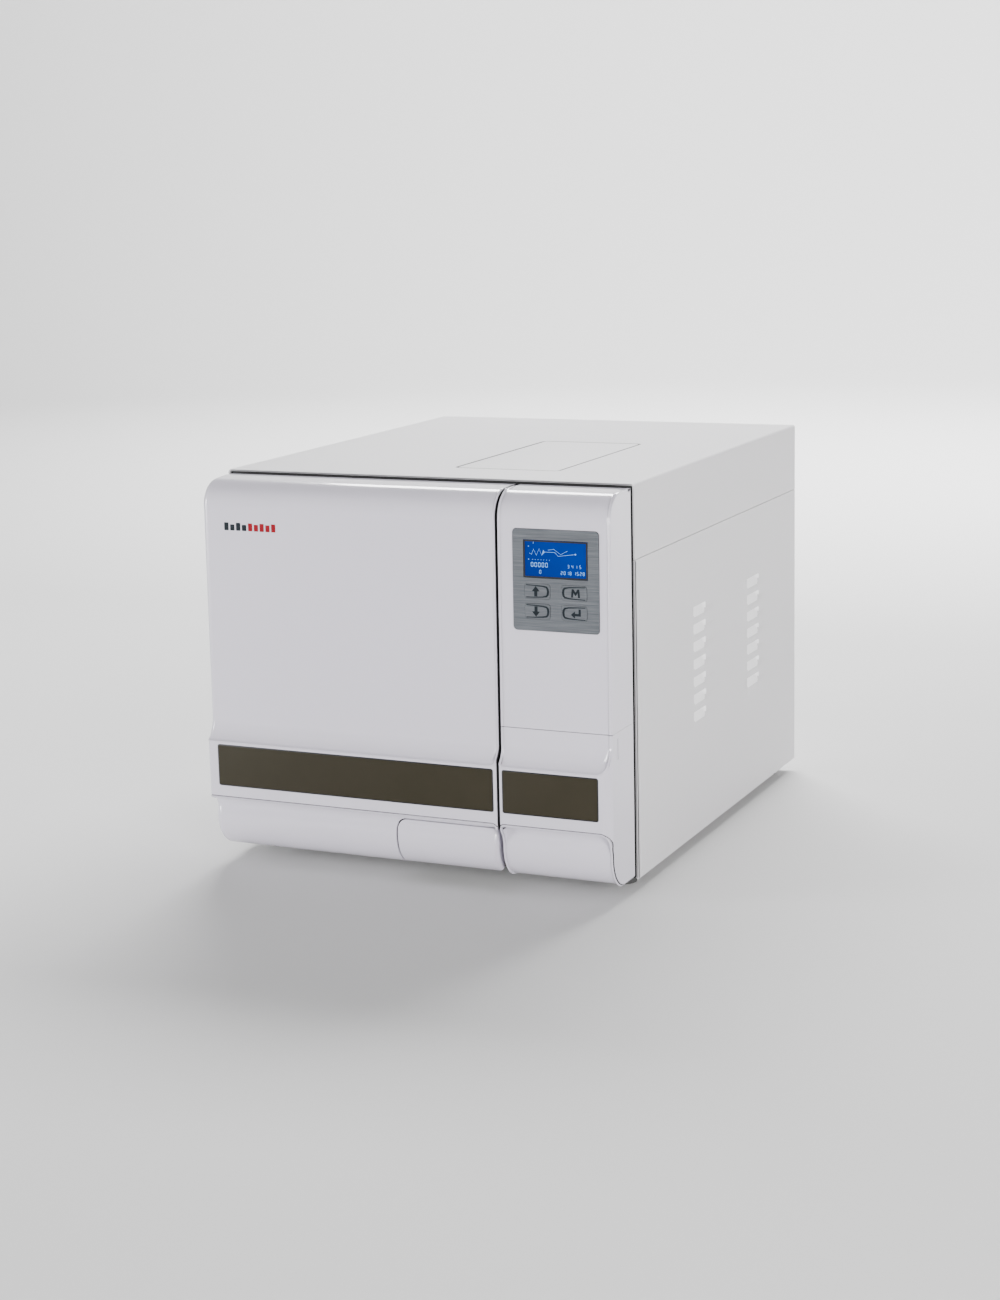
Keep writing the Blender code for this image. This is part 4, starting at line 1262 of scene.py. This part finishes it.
makeSidePanel("rightSidePanel", 1, "right_side_panel")
makeSidePanel("leftSidePanel", -1, "left_side_panel")
makeTopCover()
makeHatch()
print("cabinet sheets made")


# fasteners and fittings
def buttonScrew(at, axis, radius, sign=1):
    # a low domed head with a socket, standing on the surface at `at`
    r, h = radius, radius * 0.55 * sign
    profile = [(0, h * 0.25), (r * 0.42, h * 0.25), (r * 0.45, h * 0.98), (r * 0.62, h), (r * 0.84, h * 0.72),
               (r * 0.97, h * 0.32), (r, 0)]
    return spun("screw", profile, at, axis, 20)


def screws(name, spots, y, radius, look, body, sign=1):
    # a group of screws at (x, z) spots on a plane y; look holds a finish and a slot name, and only the finish
    # is read
    heads = [buttonScrew((x, y, z), "Y", radius, sign) for x, z in spots]
    piece(name, shifted(joined(name, heads)), look[0], body)


def wireRing(centre, radius, wire, y):
    profile = [(radius + wire * cos(a), y + wire * sin(a)) for a in np.radians(np.arange(0, 360, 45))]
    return spun("ring", profile, (centre[0], 0, centre[1]), "Y", 56, closed=True)


rear = {
    "panel": 0.506,  # outer face of the rear panel
    "fan": (0.150, 0.315),
    "rings": (0.012, 0.020, 0.028, 0.036, 0.0445),
    "wire": 0.00085,
    "inlet": (0.170, 0.056),
    "screws": [(x, z) for x in (-0.2135, 0.2135) for z in (0.012, 0.135, 0.262, 0.379)]
    + [(0, 0.012), (0, 0.379)],
}


def makeRear():
    y, fan = rear["panel"], rear["fan"]
    heads = [buttonScrew((x, y, z), "Y", 0.0032) for x, z in rear["screws"]]
    corners = [(fan[0] + a * 0.0475, fan[1] + b * 0.0475) for a in (-1, 1) for b in (-1, 1)]
    heads += [buttonScrew((x, y, z), "Y", 0.0028) for x, z in corners]
    piece("rearScrews", shifted(joined("rearScrews", heads)), "steel", "cabinet")
    wire = rear["wire"]
    parts = [wireRing(fan, radius, wire, y + wire) for radius in rear["rings"]]
    for turn in (45, 135, 225, 315):
        way = Vector((cos(radians(turn)), 0, sin(radians(turn))))
        low = Vector((fan[0], y + wire, fan[1])) + way * 0.006
        spoke = spun("spoke", [(0, 0), (wire, 0), (wire, 0.060), (0, 0.060)], (0, 0, 0), "Z", 8)
        spoke.transform(Matrix.Translation(low) @ way.to_track_quat("Z", "Y").to_matrix().to_4x4())
        parts.append(spoke)
    piece("fanGuard", shifted(joined("fanGuard", parts)), "stainless", "cabinet")
    x, z = rear["inlet"]
    pins = [
        block("pin", (px - 0.0010, 0.4965, pz - 0.0020), (px + 0.0010, 0.5065, pz + 0.0020), 0.0005)
        for px, pz in ((x - 0.0055, z - 0.0022), (x + 0.0055, z - 0.0022), (x, z + 0.0028))
    ]
    piece("mainsPins", shifted(joined("mainsPins", pins)), "stainless", "cabinet")


def makeDoorFittings():
    # bolts on the door's yoke, and the screws that hold the liner
    spots = [(-0.183, 0.105), (-0.183, 0.345), (-0.183, 0.225), (0.0725, 0.150), (0.0725, 0.075)]
    screws("yokeBolts", spots, -0.0323, 0.0042, ("steel", "bare_steel"), "door")
    spots = [(-0.198, 0.070), (0.078, 0.070), (0.078, 0.374), (-0.178, 0.376), (-0.198, 0.225)]
    screws("linerScrews", spots, -0.0115, 0.0026, ("steel", "bare_steel"), "door")
    x, z = -0.060, 0.225
    profile = [(0, -0.0128), (0.012, -0.0128), (0.016, -0.0142), (0.0165, -0.0168)]
    cap = spun("discCap", profile, (x, 0, z), "Y", 48)
    piece("discCap", shifted(cap), "stainless", "door")


def makeBulkheadFittings():
    angles = np.radians(np.arange(22.5, 360, 45))
    spots = [(-0.060 + 0.1505 * cos(a), 0.225 + 0.1505 * sin(a)) for a in angles]
    spots = [(x, z) for x, z in spots if abs(x) < 0.2]
    screws("bulkheadBolts", spots, 0.0020, 0.0036, ("stainless", "polished_steel"), "cabinet", -1)


makeRear()
makeDoorFittings()
makeBulkheadFittings()
print("fasteners and fittings made")


# finishes for the CAD parts that stay
cadFinish = {
    "powderCoat": ["rear_panel", "base_pan"],
    "blackRubber": ["foot_front_left", "foot_front_right", "foot_rear_left", "foot_rear_right"],
    "shadowBlack": ["front_bulkhead"],
    "stainless": ["chamber_vessel", "chamber_flange", "door_disc", "tray_rack", "tray_lower", "tray_middle",
                  "tray_upper", "door_hinge_pin", "lock_bolt"],
    "steel": ["door_yoke", "hinge_bracket_lower", "hinge_bracket_upper", "hinge_leaf_lower",
              "hinge_leaf_upper", "flap_hinge_bracket", "flap_hinge_leaf", "latch_hook", "drain_valves",
              "steam_generator",
              "pump_motor", "condenser", "hose_outlets"],
    "glassFibre": ["insulation_jacket"],
    "silicone": ["door_gasket"],
    "glossWhite": ["door_liner", "air_filter"],
    "darkPlastic": ["service_plate", "lock_solenoid", "vacuum_pump", "fan_frame", "fan_rotor", "mains_inlet",
                    "knob_waste_drain"],
    "milkyPlastic": ["water_tank"],
    "redPlastic": ["power_rocker"],
    "bluePlastic": ["knob_clean_drain"],
    "boardGreen": ["control_board"],
    "controlMetal": ["control_plate", "key_up", "key_down", "key_menu", "key_enter"],
    "displayBlue": ["lcd_window"],
}


def finishCad():
    for finish, nodes in cadFinish.items():
        for node in nodes:
            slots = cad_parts[node].data.materials
            slots.clear()
            slots.append(finishes[finish])


finishCad()
print("CAD parts finished")
